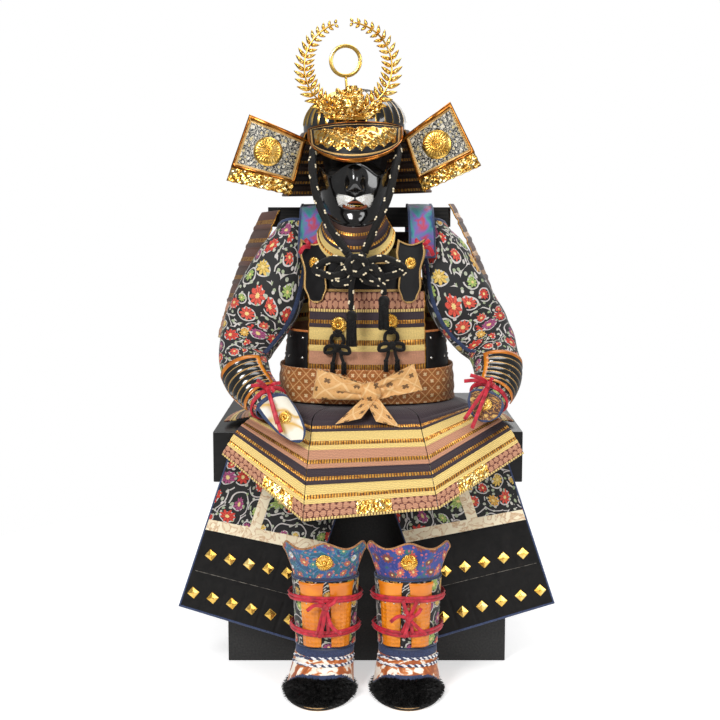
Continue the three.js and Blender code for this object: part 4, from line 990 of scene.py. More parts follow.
# Turn-backs: wide wings faced with black leather, printed in fine gold blossom, inside a copper-gilt rim.
# A band of pierced gilt work runs below each, and a chased medallion sits on its middle.
def blossoms(tree, cut, cell, dyes, ground, vine, petals=6, seed=0.0, fill=0.34, leaf_tint=None):
    """Blossoms scattered one to a cell, with a scroll of vine round each and small leaves between."""
    shifted = add(tree, "Mapping", {"Vector": cut, "Location": (seed, seed * 1.7, 0)})
    warp = add(tree, "TexNoise", {"Vector": shifted, "Scale": 0.5 / cell})["Color"]
    drawn = {"Fac": cell * 0.5, "Color1": shifted, "Color2": warp}
    bent = add(tree, "MixRGB", drawn, blend_type="LINEAR_LIGHT")
    cells = {"Vector": bent, "Scale": 1 / cell, "Randomness": 0.72}
    near = add(tree, "TexVoronoi", cells, voronoi_dimensions="2D")
    away = add(tree, "VectorMath", {0: bent, 1: near["Position"]}, operation="SUBTRACT")
    parts = add(tree, "SeparateXYZ", {"Vector": away})
    luck = add(tree, "SeparateXYZ", {"Vector": near["Color"]})
    turn = add(tree, "Math", {0: parts["Y"], 1: parts["X"]}, operation="ARCTAN2")
    turn = add(tree, "Math", {0: luck["Z"], 1: 6.28, 2: turn}, operation="MULTIPLY_ADD")
    lobes = add(tree, "Math", {0: turn, 1: float(petals)}, operation="MULTIPLY")
    lobes = add(tree, "Math", {0: lobes}, operation="COSINE")
    size = add(tree, "MapRange", {"Value": luck["Y"], "To Min": fill * 0.62, "To Max": fill * 1.15})
    edge = add(tree, "Math", {0: lobes, 1: 0.16, 2: 0.84}, operation="MULTIPLY_ADD")
    edge = add(tree, "Math", {0: edge, 1: size}, operation="MULTIPLY")
    inside = add(tree, "Math", {0: near["Distance"], 1: edge}, operation="DIVIDE")
    flower = add(tree, "Math", {0: inside, 1: 1.0}, operation="LESS_THAN")
    heart = add(tree, "Math", {0: inside, 1: 0.3}, operation="LESS_THAN")
    low_lobe = {"From Min": -1.0, "From Max": -0.55, "To Min": 0.35, "To Max": 1.0}
    gap = add(tree, "MapRange", {"Value": lobes, **low_lobe})
    ringed = add(tree, "Math", {0: inside, 1: 26.0}, operation="MULTIPLY")
    ringed = add(tree, "Math", {0: ringed}, operation="SINE")
    ringed = add(tree, "MapRange", {"Value": ringed, "From Min": -1.0, "To Min": 0.72, "To Max": 1.05})
    light = add(tree, "Math", {0: gap, 1: ringed}, operation="MULTIPLY")
    stops = [(i / len(dyes), dye) for i, dye in enumerate(dyes)]
    dyed = add(tree, "ValToRGB", {"Fac": luck["X"]}, stops=stops)
    dyed[0].node.color_ramp.interpolation = "CONSTANT"
    petal = add(tree, "MixRGB", {"Fac": 1.0, "Color1": dyed, "Color2": light}, blend_type="MULTIPLY")
    petal = add(tree, "MixRGB", {"Fac": heart, "Color1": petal, "Color2": "#e9cf86"})
    coil = add(tree, "Math", {0: turn, 1: 1 / 6.2832}, operation="MULTIPLY")
    coil = add(tree, "Math", {0: near["Distance"], 1: 5.2, 2: coil}, operation="MULTIPLY_ADD")
    coil = add(tree, "Math", {0: coil, 1: 1.0}, operation="PINGPONG")
    stem = add(tree, "Math", {0: coil, 1: 0.17}, operation="LESS_THAN")
    leafy = add(tree, "TexVoronoi", {"Vector": bent, "Scale": 3.4 / cell}, voronoi_dimensions="2D")
    leaf = add(tree, "Math", {0: leafy["Distance"], 1: 0.27}, operation="LESS_THAN")
    pick = add(tree, "SeparateXYZ", {"Vector": leafy["Color"]})
    some = add(tree, "Math", {0: pick["X"], 1: 0.45}, operation="GREATER_THAN")
    leaf = add(tree, "Math", {0: leaf, 1: some}, operation="MULTIPLY")
    leaf_dye = add(tree, "MixRGB", {"Fac": pick["Y"], "Color1": leaf_tint or dyes[-1], "Color2": vine})
    colour = add(tree, "MixRGB", {"Fac": stem, "Color1": ground, "Color2": vine})
    colour = add(tree, "MixRGB", {"Fac": leaf, "Color1": colour, "Color2": leaf_dye})
    colour = add(tree, "MixRGB", {"Fac": flower, "Color1": colour, "Color2": petal})
    raised = add(tree, "Math", {0: flower, 1: stem}, operation="MAXIMUM")
    return colour, raised


gold_print, tree, shader = finish("gold_printed_leather", roughness=0.4, specular_ior_level=0.5)
cut = add(tree, "TexCoord")["UV"]
PRINT = ["#f2ecdc", "#d9c68f", "#e9e4d6"]
colour, raised = blossoms(tree, cut, 0.011, PRINT, "#08080a", "#cfc8b6", petals=5, fill=0.34)
dress(tree, shader, raised, 0.25, 0.0005, base_color=colour)

TURNBACKS = {
    "left": ((-238, -180, 1130), (-287, -178, 996)),
    "right": ((168, -180, 1155), (233, -178, 1026)),
}
MEDALLION = (0.48, 0.42)


def on_rim(u, v, side, top, low):
    return u < side or u > 1 - side or v < top or v > low


def wing_paint(u, v):
    if v > 0.79:
        return 2
    return 1 if on_rim(u, v, 0.05, 0.07, 0.74) else (3 if on_rim(u, v, 0.075, 0.1, 0.71) else 0)


def wing_relief(u, v):
    if v > 0.79:
        return 1.2 + 1.2 * sin(46 * u) * sin(60 * v)
    return 2.6 if on_rim(u, v, 0.05, 0.07, 0.74) else 0.0


medallions = bmesh.new()
for side, outer in TURNBACKS.items():
    on_neck = 1.0016 if side == "left" else -0.0016
    tops, lows = ([Vector(out), neck_at(on_neck, down)] for out, down in zip(outer, (0.1, 0.98)))
    if side == "right":
        tops, lows = tops[::-1], lows[::-1]

    def wing_at(u, v):
        p = tops[0].lerp(tops[1], u).lerp(lows[0].lerp(lows[1], u), v)
        return p + Vector((0, -22 * sin(pi * u), 0))

    wing = [0, 0.02, 0.045, 0.055, 0.07, 0.08]
    rim_rows = [0.705, 0.715, 0.735, 0.745, 0.785, 0.795]
    wall(
        f"turnback_{side}_plate", wing_at,
        [*wing, *even(56, 0.1, 0.9), *(1 - w for w in reversed(wing))],
        [0, 0.03, 0.065, 0.075, 0.095, 0.105, *even(16, 0.13, 0.69), *rim_rows, *even(14, 0.8, 1)],
        [gold_print, rim_gilt, chased_gilt, gold_edge], 2.5, (0.16, 0.14), [f"turnback_{side}"],
        "black_lacquer", wing_relief, wing_paint,
    )
    n = outward(wing_at, *MEDALLION)
    spot = facing(n, wing_at(*MEDALLION) + n * 2.4)
    rim = spot @ Matrix.Diagonal((0.030, 0.030, 0.0016, 1))
    disc = {"cap_ends": True, "segments": 64, "radius1": 1, "radius2": 0.96, "depth": 2}
    bmesh.ops.create_cone(medallions, matrix=rim, **disc)
    rosette(medallions, spot @ Matrix.Translation((0, 0, 0.0012)), 27, 5, 24, rings=3)
place(medallions, "turnback_medallions", [gold], slot="gilt_metal")


# Crest: two fern fronds of cut and gilt sheet that almost close into a ring, with a plain ring in the middle.
# Each leaf is a thin blade with a raised midrib, set on a round stem.
CREST_X, CREST_Y, CREST_Z, STEM_R = -38, -213.6, 1222, 88
LEAVES = 18
MIDRIB = 0.0013
RING_X, RING_Z, RING_R = -43, 1234, 29.5
wreath = bmesh.new()
for way, sweep in ((1, 174), (-1, 163)):

    def on_stem(degrees, radius):
        a = -pi / 2 + way * radians(degrees)
        return Vector((CREST_X + radius * cos(a), CREST_Y, CREST_Z + radius * sin(a)))

    twine(wreath, [on_stem(d, STEM_R) for d in range(0, sweep + 1, 6)], 3.8, 2.6, 8, steps=60)
    for share in even(LEAVES - 1):
        degrees = mix(16, sweep, share)
        long = mix(30, 9, share**2.2)
        ahead = math.degrees(long * 0.9 / STEM_R) * 0.62
        for edge in (1, -1):
            root = on_stem(degrees, STEM_R + edge)
            tip = on_stem(degrees + ahead, STEM_R + edge * (2 + long * 0.72))
            axis = (tip - root).normalized()
            across = axis.cross(Vector((0, 1, 0)))
            basis = Matrix((axis, across, Vector((0, -1, 0)))).transposed().to_4x4()
            blade = bmesh.ops.create_circle(wreath, cap_ends=True, segments=12, radius=1)["verts"]
            reach, width = (tip - root).length / 2 * MM, mix(4.6, 2.7, share) * MM
            for vert in blade:
                x, y = vert.co.x, vert.co.y
                vert.co = (x * reach, y * width * (1 - 0.45 * x) * (1.12 if abs(y) > 0.8 else 0.95), 0)
            hub = bmesh.ops.poke(wreath, faces=[blade[0].link_faces[0]])["verts"][0]
            hub.co.z = MIDRIB
            seat = Matrix.Translation((root + tip) / 2 * MM) @ basis
            bmesh.ops.transform(wreath, verts=[*blade, hub], matrix=seat)
bmesh.ops.solidify(wreath, geom=[f for f in wreath.faces if len(f.verts) == 3], thickness=0.001)
ring = [Vector((cos(a), 0, sin(a))) * RING_R for a in even(24, 0, 2 * pi)]
twine(wreath, [Vector((RING_X, CREST_Y, RING_Z)) + out for out in ring], 7.5, 2.5, 8, steps=96)
twine(wreath, [(-39, CREST_Y, 1113), (-40, CREST_Y, 1160), (-42.5, CREST_Y, 1203.5)], 5, 2.5, 8, steps=10)
place(wreath, "crest_fern_wreath", [gold], ["crest_wreath"], "gilt_metal")

# The beast's head is cast in copper, chased with a curled mane and gilt; it stands on a base of leaves
beast = bmesh.new()


def lump(x, y, z, rx, ry, rz, tilt=0.0):
    turn = Matrix.Rotation(radians(tilt), 4, "Y")
    bead(beast, Matrix.Translation(Vector((-36 + x, -236 + y, 1148 + z)) * MM) @ turn, (rx, ry, rz), 3)


for way in (-1, 1):
    lump(8.5 * way, -13, 7, 4.6, 4, 4)
    lump(9 * way, -11, 13, 8, 4, 3.4, -18 * way)
    lump(20 * way, 4, 20, 6, 5, 12, 24 * way)
    lump(5 * way, -16, -13, 1.6, 3, 4)
for skull in (
    (0, 6, 4, 25, 14, 27),
    (0, -6, 2, 17, 12, 15),
    (0, -13, -8, 13, 9, 8),
    (0, -17, -3, 6, 5, 4.5),
    (0, -11, -18, 11, 7, 4.5),
    (0, -1, 25, 7, 7, 12),
):
    lump(*skull)
for turn in even(12, radians(-150), radians(150)):
    for ring, size in ((24, 6), (29, 5)):
        x, z = ring * sin(turn + 0.1 * ring), ring * cos(turn + 0.1 * ring)
        lump(x * 0.98, 3 - 0.2 * size, 3 + z * 0.95, size * 0.75, 6, size, math.degrees(turn))
BASE_LEAVES = ((24, -22, 72), (40, -20, 80), (54, -13, 60), (60, -2, 30), (34, -10, 55), (49, 0, 40))
for way in (-1, 1):
    for i, (x, z, tilt) in enumerate(BASE_LEAVES):
        lump(way * x, 16 - (i > 3) * 3, z, 5, 3.4, 15 - i, way * tilt)
lump(0, 14, -27, 50, 4, 5)
head = place(beast, "crest_beast_head", [chased_gilt], ["crest_head"], "gilt_metal")
melt = head.modifiers.new("casting", "REMESH")
melt.mode = "VOXEL"
melt.voxel_size = 0.0012
melt.use_smooth_shade = True


# Face mask: a calm half mask of hammered iron in deep black lacquer, open at the mouth.
# A moustache of white hair is set into holes above the lip, and the lips and teeth are picked out in copper.
lip_copper = clouded(
    "copper_lacquer", {"Scale": 120, "Detail": 3}, [(0.3, "#5a2413"), (0.7, "#a5562c")], 0.2, 0.0006,
    metallic=0.5, roughness=0.35,
)


def hill(t, middle, width):
    """A smooth rise to 1 round a middle, which is nearly gone at twice its width."""
    return exp(-(((t - middle) / width) ** 2))


MASK_X, MASK_Y, CHIN_Z, BROW_Z = -24, -172, 905, 1028


def mask_at(u, v):
    s = mix(-1, 1, u)
    angle = radians(96 * s)
    side = abs(s)
    nose = hill(s, 0, 0.13)
    z = mix(BROW_Z - 22 * hill(side, 0.42, 0.2) + 4 * nose, CHIN_Z + 46 * side**2.2, v)
    h = clamp((z - CHIN_Z) / (BROW_Z - CHIN_Z))
    a, b = mix(50, 76, h**0.6), mix(58, 62, h)
    cheek = 5 * hill(side, 0.42, 0.16) * hill(h, 0.62, 0.18)
    bridge = 20 * nose * hill(h, 0.72, 0.17)
    out = cheek + hill(s, 0, 0.3) * (6 * hill(h, 0.34, 0.1) + 8 * hill(h, 0.08, 0.12))
    aside, ahead = (a + out * 0.5) * sin(angle), (b + out) * cos(angle) + bridge
    return Vector((MASK_X + aside, MASK_Y - ahead, z))


def mouth(u, v, wide, high):
    p = mask_at(u, v)
    return p.y < -200 and hypot((p.x - MASK_X) / wide, (p.z - 946) / high) < 1


def mask_relief(u, v):
    side = abs(2 * u - 1)
    slant = side - 0.16 * (v - 0.5)
    lines = sum(hill(slant, centre, 0.012) for centre in (0.3, 0.36, 0.42)) * hill(v, 0.5, 0.14)
    rim = 1.6 if v < 0.03 or v > 0.975 or u < 0.02 or u > 0.98 else 0.0
    nostril = hill(side, 0.1, 0.04) * hill(v, 0.4, 0.05)
    bridge = hill(side, 0, 0.1) * hill(v, 0.1, 0.13)
    return rim + 1.1 * lines + 3.4 * nostril + 7 * bridge + (1.4 if mouth(u, v, 25, 8.5) else 0.0)


wall(
    "mask_shell", mask_at, even(84), even(70),
    [urushi, lip_copper], 2.5, (0.22, 0.12), ["mask"], "black_lacquer", mask_relief,
    paint=lambda u, v: mouth(u, v, 24, 7.5),
    drop=lambda u, v: mouth(u, v, 19, 3.6),
)
teeth = bmesh.new()
for i in range(-4, 5):
    spot = Vector((MASK_X + i * 3.9, MASK_Y - 57 * cos(i * 0.065), 945.5 - abs(i) * 0.1))
    bead(teeth, spot, (1.8, 1.2, 3.4))
place(teeth, "mask_teeth", [gold], slot="gilt_metal")

# White horsehair: fine bright strands, a little yellow at the root
horsehair = clouded(
    "white_horsehair", {"Scale": 400}, [(0.3, "#d9d4c6"), (0.6, "#ffffff")],
    roughness=0.35, specular_ior_level=0.6,
)
HAIRS = 190
moustache = bmesh.new()
rng = random.Random(11)
for way in (-1, 1):
    batch = bmesh.new()
    for i in range(HAIRS):
        share = rng.random()
        x, y, z = way * (1.5 + 4 * share), -244 + rng.uniform(0, 1), 960 + rng.uniform(-1.5, 1.5)
        root = Vector((MASK_X + x, y, z))
        fan = mix(-0.75, 0.3, (i + 0.5) / HAIRS) + rng.uniform(-0.04, 0.04)
        reach = rng.uniform(31, 36)
        tip = root + Vector((way * reach * cos(fan) * 0.93, 13, reach * sin(fan) * 0.75))
        bend = (root + tip) / 2 + Vector((0, -4, 1.5))
        strand(batch, root, bend, 0.5, 0.375)
        strand(batch, bend, tip, 0.38, 0.285)
    join(moustache, batch)
place(moustache, "mask_moustache", [horsehair], smooth=False)


# Throat guard: three short laced rows that hang from the mask's chin, in brown, violet and gold.
# They spread over the collar and hide the gap between the mask and the breast plate.
# Throat guard: three short laced rows that hang from the mask's chin, in brown, violet and gold.
def throat_at(across, v):
    s = mix(-1, 1, across)
    angle = radians(88 * s)
    top = mask_at(mix(0.09, 0.91, across), 1) - Vector((0, 0, 3.9))
    low = Vector((-22 + 82 * sin(angle), -238 - 14 * cos(angle), 826 + 66 * s * s))
    return top.lerp(low, v) - Vector((0, 6 * sin(pi * v), 0))


THROAT = [(0, 1 / 3, "#4a2413", "row"), (1 / 3, 2 / 3, PURPLE, "row"), (2 / 3, 1, CREAM, "row")]
us, vs, relief, paint = silk_rows(THROAT, 34, 1.2, rim=0.01)
wall(
    "throat_guard_rows", throat_at, us, vs, LACED, 2.2, (0.19, 0.09), ["throat_guard"], "silk_lacing",
    relief, paint,
)


# Sleeves: lined tubes of black brocade with blossoms and scrolling vines, bound in navy twill.
# The cloth is cut wide, so that it folds softly above the elbow and gathers under the forearm plates.
brocade, tree, shader = finish("black_floral_brocade", roughness=0.66, sheen_weight=0.2, sheen_roughness=0.5)
cut = add(tree, "TexCoord")["UV"]
DYES = ["#d93a28", "#ebc45c", "#e2513c", "#a8487a", "#e8b04a", "#a9c267"]
sown = {"petals": 9, "fill": 0.36, "leaf_tint": "#93a577"}
colour, raised = blossoms(tree, cut, 0.035, DYES, "#040304", "#cfc8c4", **sown)
weave = threads(tree, cut, 0.0015)
height = add(tree, "Math", {0: weave, 1: 0.35, 2: raised}, operation="MULTIPLY_ADD")
fuzz = add(tree, "TexNoise", {"Vector": cut, "Scale": 500})
slub = {"From Min": 0.3, "From Max": 0.7, "To Min": 0.78, "To Max": 1.1}
thread = add(tree, "MapRange", {"Value": fuzz, **slub})
colour = add(tree, "MixRGB", {"Fac": 1.0, "Color1": colour, "Color2": thread}, blend_type="MULTIPLY")
dress(tree, shader, height, 0.4, 0.0008, base_color=colour)

SLEEVES = {
    "left": [
        (-150, -120, 899.1, 36, 38),
        (-171, -142, 840, 52, 44),
        (-202, -166, 755, 68, 40),
        (-238, -168, 686, 62, 42),
        (-256, -185, 634, 50, 42),
        (-242, -228, 592, 45, 38),
        (-214, -268, 563, 39, 31),
        (-190, -300, 546, 33, 24),
    ],
    "right": [
        (134, -120, 899.1, 36, 38),
        (164, -142, 838, 50, 44),
        (194, -168, 752, 66, 40),
        (236, -170, 688, 62, 42),
        (262, -185, 646, 50, 42),
        (268, -228, 604, 45, 38),
        (256, -268, 574, 39, 31),
        (238, -300, 556, 33, 24),
    ],
}


def sleeve_surface(sections):
    centre = along([s[:3] for s in sections])
    size = along([(s[3], s[4], 0) for s in sections])

    def at(u, v):
        c, s = centre(v), size(v)
        heading = (centre(min(v + 0.01, 1)) - centre(max(v - 0.01, 0))).normalized()
        wide = (Vector((1, 0, 0)) - heading * heading.x).normalized()
        deep = heading.cross(wide).normalized()
        angle = 2 * pi * u
        p = c + wide * (s.x * sin(angle)) + deep * (s.y * cos(angle))
        level = 1 - ease(v, 0, 0.14)
        p.z = mix(p.z, c.z, level) + 20 * max(0.0, cos(angle)) * level
        return p

    return at


sleeve_at = {side: sleeve_surface(sections) for side, sections in SLEEVES.items()}
for side, at in sleeve_at.items():
    way = 1 if side == "left" else -1

    def seam_gap(u):
        """How far round the sleeve a spot is from the bound seam."""
        gap = (u - 0.16 * way) % 1
        return min(gap, 1 - gap)

    def fold(u, v):
        """Soft folds: long ones down the upper arm and short ones that gather at the elbow."""
        turn = 2 * pi * u
        long = 1.3 * sin(3 * turn + 2.5 * v * way) * sin(pi * clamp(v / 0.6))
        gather = 1.5 * sin(46 * v + 2.2 * sin(turn)) * hill(v, 0.56, 0.1)
        raised = (u - 0.16 * way) % 1 < 0.012 or v < 0.012 or v > 0.985
        return long + gather * (0.5 + 0.5 * cos(turn - 2)) + (1.6 if raised else 0.0)

    sleeve = wall(
        f"sleeve_{side}_brocade", at,
        even(64), [0, 0.006, 0.012, *even(66, 0.02, 0.98), 0.985, 0.992, 1],
        [brocade, navy], 2.5, (0.31, 0.47), [f"sleeve_{side}"], "floral_brocade", fold,
        paint=lambda u, v: seam_gap(u) < 0.0165 and v < 0.6 or v < 0.012 or v > 0.985,
        ring=True,
    )


# Forearm plates, hand guards and wrist ties: dark splints in a gilt-orange frame lie on each forearm.
# A padded brocade guard with a boss covers the hand, and a crimson ribbon ties it down.
amber, tree, shader = finish("amber_lacquer", roughness=0.3, coat_weight=0.6, coat_roughness=0.12, ior=1.5)
spot = add(tree, "TexCoord")["Object"]
pool = add(tree, "TexNoise", {"Vector": spot, "Scale": 26, "Detail": 3})
dimple = add(tree, "TexVoronoi", {"Vector": spot, "Scale": 150, "Randomness": 0.25})["Distance"]
shade = add(tree, "ValToRGB", {"Fac": pool}, stops=[(0.3, "#a5560c"), (0.55, "#d47f1a"), (0.8, "#e79a33")])
dress(tree, shader, dimple, 0.35, 0.0012, base_color=shade)

# White brocade: ivory silk with patches of gold thread
white_brocade, tree, shader = finish("ivory_and_gold_brocade", roughness=0.5, sheen_weight=0.25)
cut = add(tree, "TexCoord")["UV"]
patch = add(tree, "TexNoise", {"Vector": cut, "Scale": 22, "Detail": 1})
shade = add(tree, "ValToRGB", {"Fac": patch}, stops=[(0.44, "#efe9d8"), (0.5, "#d9a93c"), (0.58, "#f2ecdf")])
dress(tree, shader, threads(tree, cut, 0.0015), 0.35, 0.0006, base_color=shade)
# Tawny brocade: brown silk grown over with gold blossom
tawny_brocade, tree, shader = finish("tawny_gold_brocade", roughness=0.5, sheen_weight=0.25)
cut = add(tree, "TexCoord")["UV"]
GOLDS = ["#c9892f", "#e3b25a", "#8a4a17"]
colour, _ = blossoms(tree, cut, 0.017, GOLDS, "#4d250c", "#c8913d", fill=0.36)
dress(tree, shader, threads(tree, cut, 0.0015), 0.35, 0.0006, base_color=colour)

HANDS = {
    "left": (-3, (-136, -346, 480), 13, -6, [(22, -52, -62), (30, -58, -78)], white_brocade),
    "right": (-1, (232, -352, 522), 14, -26, [(-54, -56, -62), (-40, -66, -78)], tawny_brocade),
}
WRIST = 0.945
RIBS = 6.5
hand_bosses = bmesh.new()
wrist_ties = bmesh.new()
for side, (first, tip, half, knot_x, tails, cloth) in HANDS.items():
    at = sleeve_at[side]

    def arm_at(u, v):
        return at(u, v) + outward(at, u, v) * 3

    def plate_at(u, v):
        return arm_at(mix(first, first + 4, u) / 10, mix(0.66, 0.9, v))

    def framed(u, v):
        return board_edge(u, v, 0.085, 0.095)

    wall(
        f"forearm_plate_{side}_splints", plate_at,
        [0, 0.03, 0.08, 0.09, *even(24, 0.1, 0.9), 0.91, 0.92, 0.97, 1],
        [0, 0.04, 0.09, 0.1, *even(64, 0.11, 0.89), 0.9, 0.91, 0.96, 1],
        [amber, urushi, gold_edge], 2, (0.12, 0.08), [f"forearm_plate_{side}"], "orange_lacquer",
        relief=lambda u, v: 1.8 if framed(u, v) else 1.4 * abs(sin(RIBS * pi * v)),
        paint=lambda u, v: 0 if framed(u, v) else (2 if (v * RIBS) % 1 < 0.2 else 1),
    )

    def guard_at(u, v):
        s = mix(-1, 1, u)
        blunt = sqrt(max(0.02, 1 - (max(0.0, v - 0.7) / 0.3) ** 2))
        end = Vector(tip) + Vector((s * (half + 7), 0, 0))
        middle = arm_at(0, 1).lerp(Vector(tip), v)
        spot = arm_at(2 * s / 10, 1).lerp(end, v) + Vector((s * 7, 0, 3)) * sin(pi * v)
        return middle + (spot - middle) * blunt

    wall(
        f"hand_guard_{side}_cloth", guard_at,
        [0, 0.04, 0.08, 0.09, *even(16, 0.12, 0.88), 0.91, 0.92, 0.96, 1],
        [0, 0.03, 0.05, *even(24, 0.06, 0.9), 0.93, 0.94, 0.97, 1],
        [cloth, navy], 2, (0.05, 0.09), [f"hand_guard_{side}"], "ivory_brocade",
        relief=lambda u, v: 1.2 if board_edge(u, v, 0.09, 0.06) else 1.5 * pillow(u, v),
        paint=lambda u, v: board_edge(u, v, 0.095, 0.065),
    )
    n = outward(guard_at, 0.5, 0.5)
    rosette(hand_bosses, facing(n, guard_at(0.5, 0.5) + n * 3.2), 13, 6, 22)

    band = [arm_at(u, WRIST) + outward(arm_at, u, WRIST) * 1.4 for u in even(24)]
    for lift in (-5, 0, 5):
        twine(wrist_ties, [p + Vector((0, lift * 0.5, lift * 0.55)) for p in band], 4.6, 1.8, 8, steps=48)
    knot = arm_at(0, WRIST) + outward(arm_at, 0, WRIST) * 4
    for dx, dy, dz in tails:
        bend = knot + Vector((dx * 0.35, dy * 0.5, dz * 0.35 + 4))
        twine(wrist_ties, [knot, bend, knot + Vector((dx, dy, dz))], 8, 1.5, 8, steps=16)
    for dx, dy, dz in ((-26, -14, 8), (32, -10, 14), (-14, -14, 20), (20, -16, -4)):
        dx += knot_x
        bend = knot + Vector((dx * 0.5, dy * 0.5 - 5, dz * 0.4 + 6))
        twine(wrist_ties, [knot, bend, knot + Vector((dx, dy, dz))], 7.5, 1.5, 8, steps=12)
    bead(wrist_ties, knot, (7, 6, 6))
place(hand_bosses, "hand_guard_bosses", [gold], slot="gilt_metal")
place(wrist_ties, "wrist_ribbons", [crimson], ["wrist_tie_left", "wrist_tie_right"], "crimson_ribbon")


# Sash: a wide belt of stiff gold and brown brocade with pale diamonds, wound once around the waist.
# Its ends are tied in front in a bow of lighter ivory brocade, turned so that its lining side shows.
def lattice(tree, cut, cell, ground, figure, accent, mark):
    """Woven figures of a belt: small crosses inside a net of slanted squares. Returns colour and height."""
    turned = add(tree, "Mapping", {"Vector": cut, "Rotation": (0, 0, pi / 4)})
    axes = add(tree, "SeparateXYZ", {0: turned})
    raw = add(tree, "SeparateXYZ", {0: cut})
    off = []
    for source, step in ((axes["X"], cell), (axes["Y"], cell), (raw["X"], cell / 4), (raw["Y"], cell / 4)):
        share = add(tree, "Math", {0: source, 1: step}, operation="DIVIDE")
        part = add(tree, "Math", {0: share}, operation="FRACT")
        centred = add(tree, "Math", {0: part, 1: 0.5}, operation="SUBTRACT")
        off.append(add(tree, "Math", {0: centred}, operation="ABSOLUTE"))
    far = add(tree, "Math", {0: off[0], 1: off[1]}, operation="MAXIMUM")
    near = add(tree, "Math", {0: off[0], 1: off[1]}, operation="MINIMUM")
    net = add(tree, "Math", {0: far, 1: 0.45}, operation="GREATER_THAN")
    inside = add(tree, "Math", {0: far, 1: 0.2}, operation="LESS_THAN")
    arms = add(tree, "Math", {0: near, 1: 0.075}, operation="LESS_THAN")
    cross = add(tree, "Math", {0: inside, 1: arms}, operation="MULTIPLY")
    arms = add(tree, "Math", {0: off[2], 1: off[3]}, operation="MAXIMUM")
    dots = add(tree, "Math", {0: arms, 1: 0.16}, operation="LESS_THAN")
    low = add(tree, "MixRGB", {"Fac": dots, "Color1": ground, "Color2": accent})
    mid = add(tree, "MixRGB", {"Fac": net, "Color1": low, "Color2": figure})
    colour = add(tree, "MixRGB", {"Fac": cross, "Color1": mid, "Color2": mark})
    raised = add(tree, "Math", {0: net, 1: cross}, operation="MAXIMUM")
    return colour, raised


BELT_SHEEN = {"roughness": 0.55, "sheen_weight": 0.25, "sheen_roughness": 0.4}
PALE = ("#d9a464", "#e6bd84", "#cf9553", "#6b4a24")


def belt_cloth(name, cell, dyes):
    """Heavy belt brocade: a twill of gold thread, with its figures standing a little above the ground."""
    material, tree, shader = finish(name, **BELT_SHEEN)
    cut = add(tree, "TexCoord")["UV"]
    colour, raised = lattice(tree, cut, cell, *dyes)
    height = add(tree, "Math", {0: threads(tree, cut, 0.0015), 1: 0.4, 2: raised}, operation="MULTIPLY_ADD")
    dress(tree, shader, height, 0.4, 0.0007, base_color=colour)
    return material


belt = belt_cloth("gold_belt_brocade", 0.021, ("#a8642a", "#d3a066", "#8a4a1b", "#e6c796"))
lining = belt_cloth("pale_gold_belt_brocade", 0.03, PALE)
knot_cloth, tree, shader = finish("knotted_belt_brocade", **BELT_SHEEN)
spot = add(tree, "TexCoord")["Object"]
flat = add(tree, "Mapping", {"Vector": spot, "Rotation": (pi / 2, 0, 0.3)})
colour, raised = lattice(tree, flat, 0.03, *PALE)
dress(tree, shader, raised, 0.4, 0.0007, base_color=colour)

sash = wall(
    "waist_sash", lambda u, v: torso(2 * pi * u, mix(612, 541, v), 8), even(160), even(20),
    [belt], 3, (1.03, 0.071), ["sash_band"], "gold_brocade",
    relief=lambda u, v: 1.4 * sin(3 * pi * v + 6 * u) ** 2 + (0.8 if abs(v - 0.5) > 0.44 else 0),
    ring=True,
)

BOW = Vector((8, -256, 566))
NARROW = 30
for name, length, tilt, broad in (("left", -112, 20, 62), ("right", 98, 34, 58)):
    way = math.atan2(tilt, length)
    reach = hypot(length, tilt)

    def loop_at(u, v):
        s = (1 - cos(2 * pi * u)) / 2
        full = sin(pi * min(0.08 + 0.92 * s, 0.98))
        fat = 9 * sin(2 * pi * u) * sqrt(max(0.0, full))
        high = mix(NARROW, broad, s) * (v - 0.5)
        long = 6 + s * (reach - 6)
        pleat = 3.2 * cos(5 * pi * v) * (1 - s) ** 1.3
        x, z = long * cos(way) - high * sin(way), long * sin(way) + high * cos(way)
        return BOW + Vector((x, -fat - pleat, z))

    # the loop's outline turns with its side, so the two are wound opposite ways to face outwards
    wall(
        f"sash_bow_loop_{name}",
        (lambda u, v: loop_at(1 - u, v)) if name == "left" else loop_at,
        even(64), [0, 0.015, *even(20, 0.04, 0.96), 0.985, 1],
        [lining], 2.5, (reach * 0.002, 0.06), ["sash_bow"] if name == "left" else (), "ivory_brocade",
        lambda u, v: 5 * sin(pi * v) ** 0.7 * sin(pi * clamp(abs(2 * (u % 1) - 1))) ** 0.5,
        ring=True,
    )
for name, dx, dz, wide in (("left", -46, -42, 26), ("right", 34, -48, 24)):

    def tail_at(u, v):
        s = mix(-1, 1, u)
        y = -6 - 41 * sin(1.5 * v) - 1.5 * cos(2 * pi * s) * (1 - v)
        z = -8 + dz * v - 6 * s * math.copysign(1, dx) * v
        return BOW + Vector((dx * v + s * mix(13, wide, v), y, z))

    wall(
        f"sash_bow_tail_{name}", tail_at,
        [0, 0.03, *even(24, 0.06, 0.94), 0.97, 1], [*even(24, 0, 0.94), 0.97, 1],
        [lining], 2.5, (0.052, 0.066), (), "ivory_brocade",
        lambda u, v: 0.9 if board_edge(u, v, 0.05, 0.04) else 0.0,
    )
wraps = bmesh.new()
middle = Matrix.Translation((BOW + Vector((0, -5, 0))) * MM) @ Matrix.Diagonal((0.02, 0.0155, 0.024, 1))
bmesh.ops.create_uvsphere(wraps, u_segments=48, v_segments=28, radius=1, matrix=middle, calc_uvs=True)
for vert in wraps.verts:
    x, z = vert.co.x - BOW.x * MM, vert.co.z - BOW.z * MM
    vert.co.y -= 0.0012 * cos(620 * (x + 0.25 * z)) * max(0.0, 1 - (z / 0.024) ** 2)
place(wraps, "sash_bow_knot", [knot_cloth], slot="ivory_brocade")


